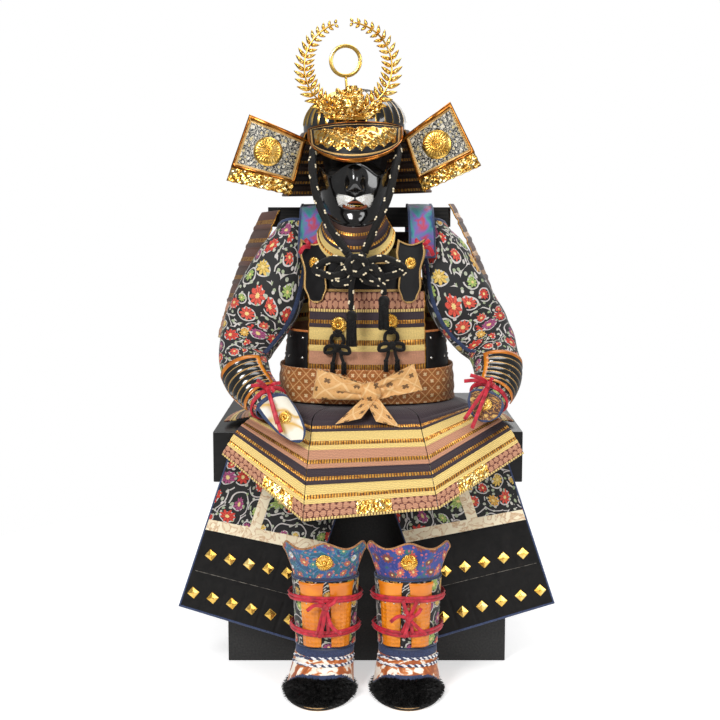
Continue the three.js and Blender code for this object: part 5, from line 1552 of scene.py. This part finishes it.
# Chest bows: a gilt fan-shaped boss on each side of the chest, with a black braided cord tied below it.
# The cord makes a small loop each way and ends in two short tassels.
chest_bow = bmesh.new()
chest_cord = bmesh.new()
for degrees, level in ((-24, 704), (20, 710)):
    turn = radians(degrees)
    seat = torso(turn, level, 5.9)
    swing = Matrix.Rotation(turn * 0.8, 3, "Z")

    def near(x, y, z):
        return seat + swing @ Vector((x, y, z))

    rosette(chest_bow, facing(swing @ Vector((0, -1, 0)), near(0, -1, 0)), 17, 8, 20)
    bead(chest_cord, near(0, -7, -17), (8, 6.5, 8.5), 3)
    for tilt in (-0.5, 0.5):
        ring = [
            near(9 * cos(a), -7 - 7 * sin(a), -18.5 + 9 * tilt * cos(a))
            for a in even(12, 0, 2 * pi)
        ]
        twine(chest_cord, ring, 3.4, 3.4, 8, steps=30)
    half = [(0, -8, -16), (-12, -9, -24), (-13, -9, -36), (0, -8, -46)]
    whole = [*half, *((-x, y, z) for x, y, z in half[-2::-1])]
    twine(chest_cord, [near(*p) for p in whole], 8, steps=44)
    for way in (-1, 1):
        loop = [(0, -10, -46), (12, -13, -42), (25, -11, -47), (26, -10, -56), (12, -12, -56), (0, -10, -48)]
        twine(chest_cord, [near(way * x, y, z) for x, y, z in loop], 8, steps=40)
    bead(chest_cord, near(0, -11, -47), (9, 7.5, 9), 3)
    for dx in (-7, 9):
        path = [near(0, -9, -46), near(dx * 0.8, -9, -56), near(dx, -9, -66), near(dx * 1.5, -8, -78)]
        twine(chest_cord, path, 7.5, steps=30)
        bead(chest_cord, near(dx * 1.5, -8, -79), (5.6, 5.6, 5))
        rng = random.Random(dx)
        for _ in range(46):
            a, r = rng.uniform(0, 2 * pi), 4.4 * sqrt(rng.random())
            x, y, fall = r * cos(a), r * sin(a), rng.uniform(-2, 1)
            low = near(dx * 1.5 + 1.35 * x, -8 + 1.2 * y, -100 + fall)
            strand(chest_cord, near(dx * 1.5 + x, -8 + y, -79), low, 0.6, 0.5)
place(chest_bow, "chest_fan_bosses", [gold], ["chest_bow_left", "chest_bow_right"], "gilt_metal")
place(chest_cord, "chest_bow_cords", [braid_black], slot="black_cord")


# Skirt: five hanging panels of six laced rows each, tied to the waist by their tops and splayed out below.
# The lowest row of the front one has a pierced gilt plaque, and gilt ticks run along its lower edge.
FOLDS = {
    "front_left": (-27, [(-104, -268, 524), (-113, -318, 478), (-120, -362, 412), (-125, -400, 334)]),
    "front_right": (25, [(98, -268, 526), (112, -318, 484), (126, -362, 424), (138, -400, 358)]),
    "side_left": (-74, [(-196, -196, 532), (-230, -254, 518), (-262, -304, 496), (-289, -330, 453)]),
    "side_right": (74, [(200, -196, 534), (240, -254, 528), (282, -304, 506), (312, -330, 455)]),
    "lid_left": (-76, [(-204, -164, 522), (-236, -184, 506), (-268, -196, 499), (-296, -202, 494)]),
    "lid_right": (76, [(204, -164, 522), (240, -184, 506), (276, -196, 499), (306, -202, 494)]),
    "back_left": (-179, [(-2, 42, 522), (-2, 84, 503), (-2, 130, 498), (-2, 176, 494)]),
    "back_right": (179, [(2, 42, 522), (2, 84, 503), (2, 130, 498), (2, 176, 494)]),
}
fold_line = {}
for name, (degrees, path) in FOLDS.items():
    waist = [torso(radians(degrees), z) for z in (573.6, 538)]
    fold_line[name] = along([*waist, *path])
SKIRT = {
    "skirt_front": ("front_left", "front_right", 0, (0.25, 0.3), 44, (0.4, 0.66)),
    "skirt_front_left": ("side_left", "front_left", 0, (0.2, 0.26), 38, (0.5, 0.86)),
    "skirt_front_right": ("front_right", "side_right", 0, (0.2, 0.26), 38, (0.25, 0.6)),
    "skirt_back_left": ("back_left", "lid_left", 90, (0.36, 0.24), 50, (0.4, 0.6)),
    "skirt_back_right": ("lid_right", "back_right", 90, (0.36, 0.24), 50, (0.4, 0.6)),
}
ROW_DYES = [PURPLE, CREAM, PINK, PURPLE, CREAM, PINK]
ROW_TOPS = [0.46, 0.55, 0.66, 0.757, 0.838, 0.925, 1]
skirt_at = {}
for name, (first, last, bulge, size, cords, plaque_at) in SKIRT.items():
    angles = radians(FOLDS[first][0]), radians(FOLDS[last][0])

    def panel_at(u, v, lines=(fold_line[first], fold_line[last]), angles=angles, bulge=bulge):
        s = mix(0.002, 0.998, u)
        flat = lines[0](v).lerp(lines[1](v), s)
        free = ease(v, 0.2, 0.45)
        round_spot = torso(mix(*angles, s), flat.z)
        heading = (round_spot - Vector((0, SUIT_Y, flat.z))).normalized()
        return round_spot.lerp(flat, free) + heading * (bulge * sin(pi * s) * free)

    skirt_at[name] = panel_at
    bands = [(0, 0.2, "#16110f", "leather"), (0.2, ROW_TOPS[0], PURPLE, "plain")]
    for dye, top, low in zip(ROW_DYES, ROW_TOPS, ROW_TOPS[1:]):
        bands.append((top, low, dye, "knots" if low == 1 else "row"))
    us, vs, relief, paint = silk_rows(bands, cords, 2.2, plaque=plaque_at)
    wall(name + "_rows", panel_at, us, vs, LACED, 2.5, size, [name], "silk_lacing", relief, paint)
plaque = bmesh.new()
front = skirt_at["skirt_front"]
for u in even(40, 0.03, 0.97):
    bead(plaque, front(u, 0.993) + outward(front, u, 0.97) * 4.2, (1.3, 0.9, 4.2), 1)
for u in even(3, 0.42, 0.62):
    n = outward(front, u, 0.93)
    rosette(plaque, facing(n, front(u, 0.935) + n * 3), 8.5, 3, 8)
for v in (0.885, 0.985):
    line = [front(u, v) + outward(front, u, v) * 4.2 for u in even(12, 0.39, 0.65)]
    twine(plaque, line, 2.4, 1.6, 6, steps=24)
place(plaque, "skirt_front_plaque", [gold], slot="gilt_metal")


# Thigh guards: a split apron of black brocade with pale strips, and below it black leather over plates.
# Both halves are bound in navy twill. Seams quilt the leather, and gilt pyramid studs hold the plates.
hide, tree, shader = finish("black_grained_leather", roughness=0.6, specular_ior_level=0.22, ior=1.5)
spot = add(tree, "TexCoord")["Object"]
grain = add(tree, "TexVoronoi", {"Vector": spot, "Scale": 520}, feature="DISTANCE_TO_EDGE")["Distance"]
cloud = add(tree, "TexNoise", {"Vector": spot, "Scale": 60, "Detail": 5, "Roughness": 0.7})
shade = add(tree, "ValToRGB", {"Fac": cloud}, stops=[(0.35, "#080707"), (0.7, "#181615")])
rub = add(tree, "MapRange", {"Value": cloud, "To Min": 0.42, "To Max": 0.7})
dress(tree, shader, grain, 0.35, 0.0006, base_color=shade, roughness=rub)
# Ivory strip: a thin sized silk, written over with faint brown veins
VEINED = [(0.44, "#e9d9b9"), (0.5, "#c9a27a"), (0.54, "#efe2c4")]
strip_silk = clouded(
    "ivory_sized_silk", {"Scale": 38, "Detail": 4, "Distortion": 1.4}, VEINED, 0.15, 0.0005,
    roughness=0.6, sheen_weight=0.2,
)
# Seam thread: waxed linen, pale against the black
seam_thread = clouded(
    "waxed_linen_thread", {"Scale": 120}, [(0.35, "#2d2b28"), (0.7, "#8f897e")], 0.2, 0.0004, roughness=0.6
)

THIGHS = {
    "left": (
        [
            (-258, -240, 490.6), (-264, -275.8, 490.6), (-268, -277.6, 484), (-290, -281, 415),
            (-385, -295, 133),
        ],
        [(-6, -240, 490.6), (-6, -275.8, 490.6), (-7, -277.6, 484), (-40, -281, 380), (-147, -291, 57)],
        (0.39, 0.4),
    ),
    "right": (
        [(-4, -240, 490.6), (-4, -275.8, 490.6), (-3, -277.6, 484), (36, -281, 380), (146, -291, 64)],
        [(262, -240, 490.6), (268, -275.8, 490.6), (272, -277.6, 484), (292, -281, 415), (384, -295, 139)],
        (0.58, 0.335),
    ),
}
BENDS = (0, 0.091, 0.112, 0.29, 1)
HANG = BENDS[3]


def bent(places, w):
    """The point at share w of a line of straight stretches, where w is the share of its length."""
    i = next(i for i in range(4) if w <= BENDS[i + 1] or i == 3)
    return Vector(places[i]).lerp(Vector(places[i + 1]), (w - BENDS[i]) / (BENDS[i + 1] - BENDS[i]))


studs = bmesh.new()
seams = bmesh.new()
for side, (first, last, (upright, strip)) in THIGHS.items():
    strip = mix(HANG, 1, strip)
    seam = mix(HANG, 1, 0.73 if side == "left" else 0.69)
    quilt = 0.08 if side == "left" else -0.08

    def thigh_at(u, w):
        return bent(first, w).lerp(bent(last, w), u)

    def share(s):
        return s if side == "left" else 1 - s

    rows = [(0.716, [share(s) for s in even(4, 0.12, 0.76)]), (0.915, [share(s) for s in even(5, 0.08, 0.9)])]

    def thigh_paint(u, w):
        if share(u) < 0.018 or w > 0.987 or (share(u) > 0.985 and w > 0.3):
            return 3
        if abs(w - strip) < 0.028:
            return 2
        return 1 if w > strip else (2 if abs(u - upright) < 0.044 else 0)

    def thigh_relief(u, w):
        if share(u) < 0.02 or w > 0.985:
            return 1.8
        if w < strip + 0.028:
            edge = min(abs(abs(w - strip) - 0.028) / 0.006, abs(abs(u - upright) - 0.044) / 0.012)
            return 1.0 if abs(w - strip) < 0.028 or abs(u - upright) < 0.044 else 0.4 * clamp(edge)
        dent = hill(w, seam, 0.0055) * (share(u) < 0.92)
        for level, places in rows:
            if abs(w - level) < 0.075:
                dent += sum(hill(u, s + quilt, 0.006) for s in places)
        return 1.9 - 2.0 * min(dent, 1)

    guard = wall(
        f"thigh_guard_{side}_cloth", thigh_at,
        even(80), sorted({0.0, 0.05, 0.091, 0.1, 0.112, 0.13, *even(110, 0.15, 0.99), 1.0}),
        [brocade, hide, strip_silk, navy], 2.5, (0.25, 0.395), [f"thigh_guard_{side}"], "floral_brocade",
        thigh_relief, thigh_paint,
    )
    ends = (0.04, 0.9) if side == "left" else (0.1, 0.96)
    line = [thigh_at(u, seam) + outward(thigh_at, u, seam) * 3.4 for u in even(20, *ends)]
    twine(seams, line, 1.1, 1.1, 6, steps=40)
    for level, places in rows:
        for s in places:
            n = outward(thigh_at, s, level)
            seat = facing(n, thigh_at(s, level) + n * 3.9)
            for radius, top, low, high in ((13.5, 0.9, 0, 1.6), (11.5, 0.3, 1.6, 4.6)):
                lift = Matrix.Translation((0, 0, (low + high) / 2 * MM))
                foot, tip, tall = (value * MM for value in (radius, radius * top, high - low))
                shape = seat @ Matrix.Rotation(radians(4), 4, "Z") @ lift
                bmesh.ops.create_cone(
                    studs, cap_ends=True, segments=4, radius1=foot, radius2=tip, depth=tall, matrix=shape
                )
            bead(studs, seat @ Matrix.Translation((0, 0, 0.0045)), (2.8, 2.8, 1.4))
place(studs, "thigh_guard_studs", [gold], slot="gilt_metal", smooth=False)
place(seams, "thigh_guard_seams", [seam_thread], slot="black_lacquer")


# Shin guards and knee flaps: a brocade gaiter around each shin, with two orange lacquered splints in front.
# The padded flap above it covers the knee. It is bound in copper piping, with a boss, and ribbons tie it all.
splint_orange, tree, shader = finish(
    "orange_lacquer", roughness=0.35, coat_weight=0.3, coat_roughness=0.12, ior=1.5
)
spot = add(tree, "TexCoord")["Object"]
cut = add(tree, "TexCoord")["UV"]
pool = add(tree, "TexNoise", {"Vector": spot, "Scale": 18, "Detail": 3})
shade = add(tree, "ValToRGB", {"Fac": pool}, stops=[(0.35, "#d67303"), (0.6, "#ea8a08"), (0.8, "#f29c17")])
dimple = add(tree, "TexVoronoi", {"Vector": spot, "Scale": 120, "Randomness": 0.15})["Distance"]
parts = add(tree, "SeparateXYZ", {0: cut})
near_top = {"From Min": 0.098, "From Max": 0.088}
low = add(tree, "MapRange", {"Value": parts["Y"], **near_top}, interpolation_type="SMOOTHSTEP")
basket = add(tree, "Math", {0: dimple, 1: low}, operation="MULTIPLY")
dress(tree, shader, basket, 0.8, 0.004, base_color=shade)


def flap_brocade(name, wash, grounds, cell, dyes, vine, **flowers):
    """Flowered brocade for a knee flap: its ground is dyed in soft clouds of blue and green."""
    material, tree, shader = finish(name, roughness=0.5, sheen_weight=0.25, sheen_roughness=0.4)
    cut = add(tree, "TexCoord")["UV"]
    washed = add(tree, "TexNoise", {"Vector": cut, **wash})
    ground = add(tree, "ValToRGB", {"Fac": washed}, stops=grounds)
    colour, _ = blossoms(tree, cut, cell, dyes, ground, vine, **flowers)
    dress(tree, shader, threads(tree, cut, 0.0014), 0.3, 0.0006, base_color=colour)
    return material


teal_brocade = flap_brocade(
    "teal_floral_brocade", {"Scale": 34, "Detail": 3, "Distortion": 1.2},
    [(0.36, "#1d3c78"), (0.5, "#22666f"), (0.56, "#2c4b96"), (0.68, "#2f8a75")],
    0.03, ["#b5544c", "#3f8f86", "#8b4a6a", "#cf6b50"], "#3c7d9c", petals=9, seed=3.0, fill=0.36,
)
royal_brocade = flap_brocade(
    "royal_blue_brocade", {"Scale": 26, "Detail": 2, "Distortion": 0.8},
    [(0.36, "#1f2f7c"), (0.52, "#2f4293"), (0.62, "#2b6a5c")],
    0.031, ["#cf4f3c", "#e2705a", "#8a4138", "#d8614a"], "#33458f", petals=10, seed=7.0, fill=0.4,
)
copper_piping = clouded(
    "copper_brown_piping", {"Scale": 300}, [(0.3, "#7b4a26"), (0.7, "#c08a54")], 0.3, 0.0005,
    roughness=0.35, metallic=0.35, sheen_weight=0.2,
)
daisy = clouded(
    "white_silk_thread", {"Scale": 900}, [(0.3, "#bcd3dd"), (0.6, "#ffffff")], 0.3, 0.0004,
    roughness=0.5, sheen_weight=0.3,
)

LEGS = {
    "left": (-94, -83, [(-46, -3), (9, 54)], teal_brocade),
    "right": (77, 81, [(-57, -12), (2, 43)], royal_brocade),
}
SHIN_Y, SHIN_LOW, SHIN_HIGH = -365, 83.2, 222
knee_bosses = bmesh.new()
daisies = bmesh.new()
pins = bmesh.new()
shin_ties = bmesh.new()
DAISIES = ((0.1, 0.34, 12, 8), (0.84, 0.36, 12, 8), (0.06, 0.7, 8, 4))
for side, (shoe, shin, splints, knee_cloth) in LEGS.items():

    def shin_at(u, v):
        angle = radians(mix(-150, 150, u))
        a, b = mix(64, 57, v), mix(52, 48, v)
        return Vector((shin + a * sin(angle), SHIN_Y - b * cos(angle), mix(SHIN_HIGH, SHIN_LOW, v)))

    gaiter = wall(
        f"shin_guard_{side}_cloth", shin_at, even(80), [0, 0.02, 0.04, *even(30, 0.06, 0.96), 0.98, 1],
        [brocade, navy], 2.5, (0.3, 0.139), [f"shin_guard_{side}"], "floral_brocade",
        relief=lambda u, v: 0.8 if board_edge(u, v, 0.02, 0.03) else 0.5 * sin(18 * u),
        paint=lambda u, v: board_edge(u, v, 0.02, 0.03),
    )
    for i, (start, end) in enumerate(splints):

        def splint_at(u, v):
            half = (end - start) / 2 * (1 + 0.1 * exp(-v * 14) - 0.16 * v)
            across = ((start + end) / 2 + mix(-half, half, u) + 150) / 300
            down = mix(0.03, 0.97, v)
            off = 3.1 + 4 * sin(pi * clamp(u))
            return shin_at(across, down) + outward(shin_at, across, down) * off

        wall(
            f"shin_splint_{side}_{i + 1}_plate", splint_at,
            [0, 0.02, 0.05, *even(20, 0.08, 0.92), 0.95, 0.98, 1],
            [0, 0.015, 0.03, 0.05, 0.075, 0.1, *even(16, 0.13, 0.96), 0.985, 1],
            [splint_orange], 2, (0.05, 0.13), [f"shin_splint_{side}_{i + 1}"], "orange_lacquer",
            relief=lambda u, v: 1.6 * hill(v, 0.035, 0.03) - (0.6 if u in (0, 1) or v in (0, 1) else 0),
        )
        for level in (0.32, 0.8):
            for u in (0.35, 0.72):
                rivet(pins, splint_at, u, level, 2.2, 1.7)

    def knee_at(u, v):
        s = mix(-1, 1, u)
        angle = radians(66 * s)
        lobes = 299 - 13 * sin(pi * abs(s) ** 0.9) ** 2 - 15 * (max(0.0, abs(s) - 0.8) / 0.2) ** 2.5
        a, b = mix(88, 64, max(v, 0.0) ** 0.8), mix(66, 52, v)
        return Vector((shin + a * sin(angle), SHIN_Y - b * cos(angle), mix(lobes, 223.4, v)))

    wall(
        f"knee_flap_{side}_cloth", knee_at,
        [0, 0.01, 0.02, *even(60, 0.03, 0.97), 0.98, 0.99, 1],
        [0, 0.012, 0.03, *even(24, 0.06, 0.97), 0.985, 1],
        [knee_cloth, navy], 2.5, (0.19, 0.072), [f"knee_flap_{side}"], "blue_brocade",
        relief=lambda u, v: 1.6 * max(pillow(u, v), 0.0) ** 0.5, paint=lambda u, v: v > 0.94,
    )
    edge = [knee_at(0, v) for v in even(6, 0.98, 0)] + [knee_at(u, 0) for u in even(36)[1:]]
    edge += [knee_at(1, v) for v in even(6, 0, 0.98)[1:]]
    piping_line = bmesh.new()
    twine(piping_line, [p + Vector((0, -1.2, 0)) for p in edge], 4.2, steps=150)
    place(piping_line, f"knee_piping_{side}", [copper_piping], slot="blue_brocade")
    n = outward(knee_at, 0.5, 0.52)
    rosette(knee_bosses, facing(n, knee_at(0.5, 0.5) + n * 4.2), 17, 7, 24)
    for u, v, count, reach in DAISIES if side == "left" else ():
        n = outward(knee_at, u, v)
        for i in range(count):
            turn = Matrix.Rotation(2 * pi * i / count, 4, "Z")
            seat = facing(n, knee_at(u, v) + n * 4.2) @ turn @ Matrix.Translation((reach * 0.62 * MM, 0, 0))
            bead(daisies, seat, (reach * 0.36, 0.9, 0.5), 1)

    def tie_ring(z, lift):
        t = (z - SHIN_LOW) / (SHIN_HIGH - SHIN_LOW)
        a, b = mix(57, 64, t) + 10.4, mix(48, 52, t) + 10.4
        return [
            Vector((shin + a * sin(q), SHIN_Y - b * cos(q), z + 2 * sin(2 * q + z) + lift))
            for q in even(24, 0, 2 * pi)
        ]

    for z in (184, 118):
        for lift in (-3.4, 3.2):
            twine(shin_ties, tie_ring(z, lift), 6.6, 1.6, 8, steps=72)
    bow = Vector((shin + (2 if side == "left" else 0), -431, 150 if side == "right" else 172))
    for ribbon in (
        [(shin - 12, -428, 184), bow, (shin + 8, -427, 118)],
        [(shin + 16, -427, 184), bow, (shin - 14, -427, 118)],
        [bow, bow + Vector((-20, -5, 6)), bow + Vector((-36, -2, -6))],
        [bow, bow + Vector((17, -6, 12)), bow + Vector((24, -3, 22))],
        [bow, (shin - 2, -436, 140), (shin - 10, -434, 112)],
        [bow, (shin + 14, -434, 136), (shin + 34, -430, 116)],
    ):
        twine(shin_ties, ribbon, 7.5, 1.8, 8, steps=16)
    bead(shin_ties, bow, (8.5, 6, 7.5))
place(knee_bosses, "knee_flap_bosses", [gold], slot="gilt_metal")
place(daisies, "knee_flap_daisies", [daisy], slot="blue_brocade")
place(pins, "shin_splint_rivets", [steel], slot="gilt_metal")
place(shin_ties, "shin_ribbons", [crimson], ["shin_tie_left", "shin_tie_right"], "crimson_ribbon")


# Shoes: a navy collar, an orange and white brocade vamp crossed by braided cord, and bear fur over the toe.
# The fur is short and stands up a little all round; the sole is tan leather.
fur_hide = clouded(
    "black_fur_hide", {"Scale": 220, "Detail": 4}, [(0.3, "#060606"), (0.75, "#1b1a19")], 0.8, 0.002,
    roughness=0.8,
)
fur_hair = clouded(
    "black_fur_hair", {"Scale": 90, "Detail": 2}, [(0.35, "#080808"), (0.7, "#262423")],
    roughness=0.5, specular_ior_level=0.4,
)
vamp = clouded(
    "orange_and_white_brocade", {"Scale": 42, "Detail": 3, "Distortion": 1.0},
    [(0.4, "#a4501d"), (0.5, "#d07a35"), (0.54, "#f4ead8"), (0.66, "#fdf6ea")], 0.3, 0.0008,
    roughness=0.5, sheen_weight=0.25,
)
tan_leather = clouded(
    "tan_sole_leather", {"Scale": 80, "Detail": 4}, [(0.3, "#b08452"), (0.7, "#d9b27a")], 0.3, 0.0006,
    roughness=0.6, ior=1.5,
)
plait, tree, shader = finish("blue_and_white_plait", roughness=0.6, sheen_weight=0.3)
spot = add(tree, "TexCoord")["Object"]
turns = add(tree, "TexWave", {"Vector": spot, "Scale": 42, "Distortion": 2.4}, bands_direction="DIAGONAL")
shade = add(tree, "ValToRGB", {"Fac": turns}, stops=[(0.4, "#27365e"), (0.52, "#f2f4f7")])
dress(tree, shader, turns, 0.5, 0.0012, base_color=shade)

SHOE_Y = -411
FUR_HAIRS = 4200
plaits = bmesh.new()
soles = bmesh.new()


def toe(u, v):
    """How far inside the fur a spot is: the fur covers the toe and runs back low along both sides."""
    return v - mix(0.86, 0.42, ease(cos(2 * pi * u), -0.2, 0.95))


def shoe_paint(u, v):
    inside = toe(u, v)
    return 2 if inside > 0.05 else inside > -0.01 or v < 0.12


for side, (shoe, shin, _, _) in LEGS.items():

    def shoe_at(u, v):
        angle = 2 * pi * u
        drop = max(v, 0.0) ** 0.72
        cx, cy = mix(shin, shoe, v), mix(SHIN_Y, SHOE_Y, drop)
        a, b = mix(55, 63, sin(v * pi / 2) ** 2), mix(48, 112, drop)
        return Vector((cx + a * sin(angle), cy - b * cos(angle), mix(80, 0, v)))

    wall(
        f"shoe_{side}_upper", shoe_at, even(72), even(40),
        [vamp, navy, fur_hide], 3, (0.4, 0.12), [f"shoe_{side}"], "black_fur",
        lambda u, v: 1.5 * ease(toe(u, v), 0.03, 0.12) + (0.8 if -0.01 < toe(u, v) < 0.05 else 0),
        shoe_paint,
        ring=True,
    )
    for level in (0.14, 0.25):
        over = [(u % 1, level + 0.5 * abs(u) ** 1.5) for u in even(24, -0.22, 0.22)]
        line = along([shoe_at(*spot) + outward(shoe_at, *spot) * 4.4 for spot in over])
        for phase in (0, pi):
            woven = [
                line(t) + Vector((0, -1.2 * cos(40 * t + phase), 2.0 * sin(40 * t + phase)))
                for t in even(96)
            ]
            twine(plaits, woven, 3.2, 3.2, 6, steps=110)
    rng = random.Random(len(side))
    hairs = bmesh.new()
    batch = bmesh.new()
    placed = 0
    while placed < FUR_HAIRS:
        u, v = rng.random(), rng.uniform(0.4, 0.94)
        if toe(u, v) < 0.05:
            continue
        placed += 1
        n = outward(shoe_at, u, v)
        root = shoe_at(u, v) + n * 4.2
        lean = Vector((rng.uniform(-0.5, 0.5), rng.uniform(-0.7, 0.3), rng.uniform(-0.9, 0.3)))
        run = (n + lean).normalized() * rng.uniform(5, 10)
        run.z = max(run.z, 1.5 - root.z)
        strand(batch, root, root + run, 0.8, 0.2, 3, closed=False)
        if placed % 150 == 0:
            join(hairs, batch)
            batch = bmesh.new()
    batch.free()
    place(hairs, f"shoe_{side}_fur", [fur_hair], slot="black_fur", smooth=False)
    base = Matrix.Translation(Vector((shoe, SHOE_Y, 3.2)) * MM) @ Matrix.Diagonal((0.0645, 0.1135, 1, 1))
    bmesh.ops.create_cone(soles, cap_ends=True, segments=64, radius1=1, radius2=1, depth=0.006, matrix=base)
place(plaits, "shoe_plaits", [plait], slot="blue_brocade")
sharp = [e for e in soles.edges if len(e.link_faces) == 2 and e.calc_face_angle() > 1]
bmesh.ops.bevel(soles, geom=sharp, offset=0.0012, segments=2, profile=0.5, affect="EDGES", material=-1)
place(soles, "shoe_soles", [tan_leather], slot="brown_lacquer", smooth=False)


# Studio: a pale sheet of paper under the suit, and large soft lights from the front, the left and above
paper, tree, shader = finish(
    "white_paper", roughness=1.0, base_color="#e4e4e4", emission_color="#ffffff", emission_strength=0.5
)
sheet_of_paper = bmesh.new()
bmesh.ops.create_circle(sheet_of_paper, cap_ends=True, segments=96, radius=1.3)
mesh = bpy.data.meshes.new("studio_floor")
sheet_of_paper.to_mesh(mesh)
sheet_of_paper.free()
mesh.materials.append(paper)
floor = bpy.data.objects.new("studio_floor", mesh)
scene.collection.objects.link(floor)
for name, spot, size, power, aim in (
    ("key", (-1.5, -2.6, 2.4), 1.1, 78, (0, -0.2, 0.6)),
    ("fill", (1.9, -2.3, 1.5), 1.5, 30, (0, -0.2, 0.6)),
    ("top", (0.2, 0.2, 2.9), 1.8, 40, (0, -0.2, 0.4)),
    ("back", (0.9, 2.0, 1.8), 1.6, 12, (0, -0.1, 0.7)),
):
    lamp = bpy.data.lights.new(name, "AREA")
    lamp.size = size
    lamp.energy = power
    holder = bpy.data.objects.new(name, lamp)
    holder.location = spot
    holder.rotation_euler = (Vector(aim) - Vector(spot)).to_track_quat("-Z", "Y").to_euler()
    scene.collection.objects.link(holder)
world = bpy.data.worlds.new("studio")
scene.world = world
world.use_nodes = True
sky = world.node_tree
back = sky.nodes["Background"]
seen = add(sky, "LightPath")["Is Camera Ray"]
level = add(sky, "Mix", {2: 0.26, 3: 1.0}, data_type="FLOAT")
sky.links.new(seen, level[0].node.inputs[0])
sky.links.new(level[0], back.inputs["Strength"])
back.inputs["Color"].default_value = (1, 1, 1, 1)
scene.view_settings.view_transform = "Standard"
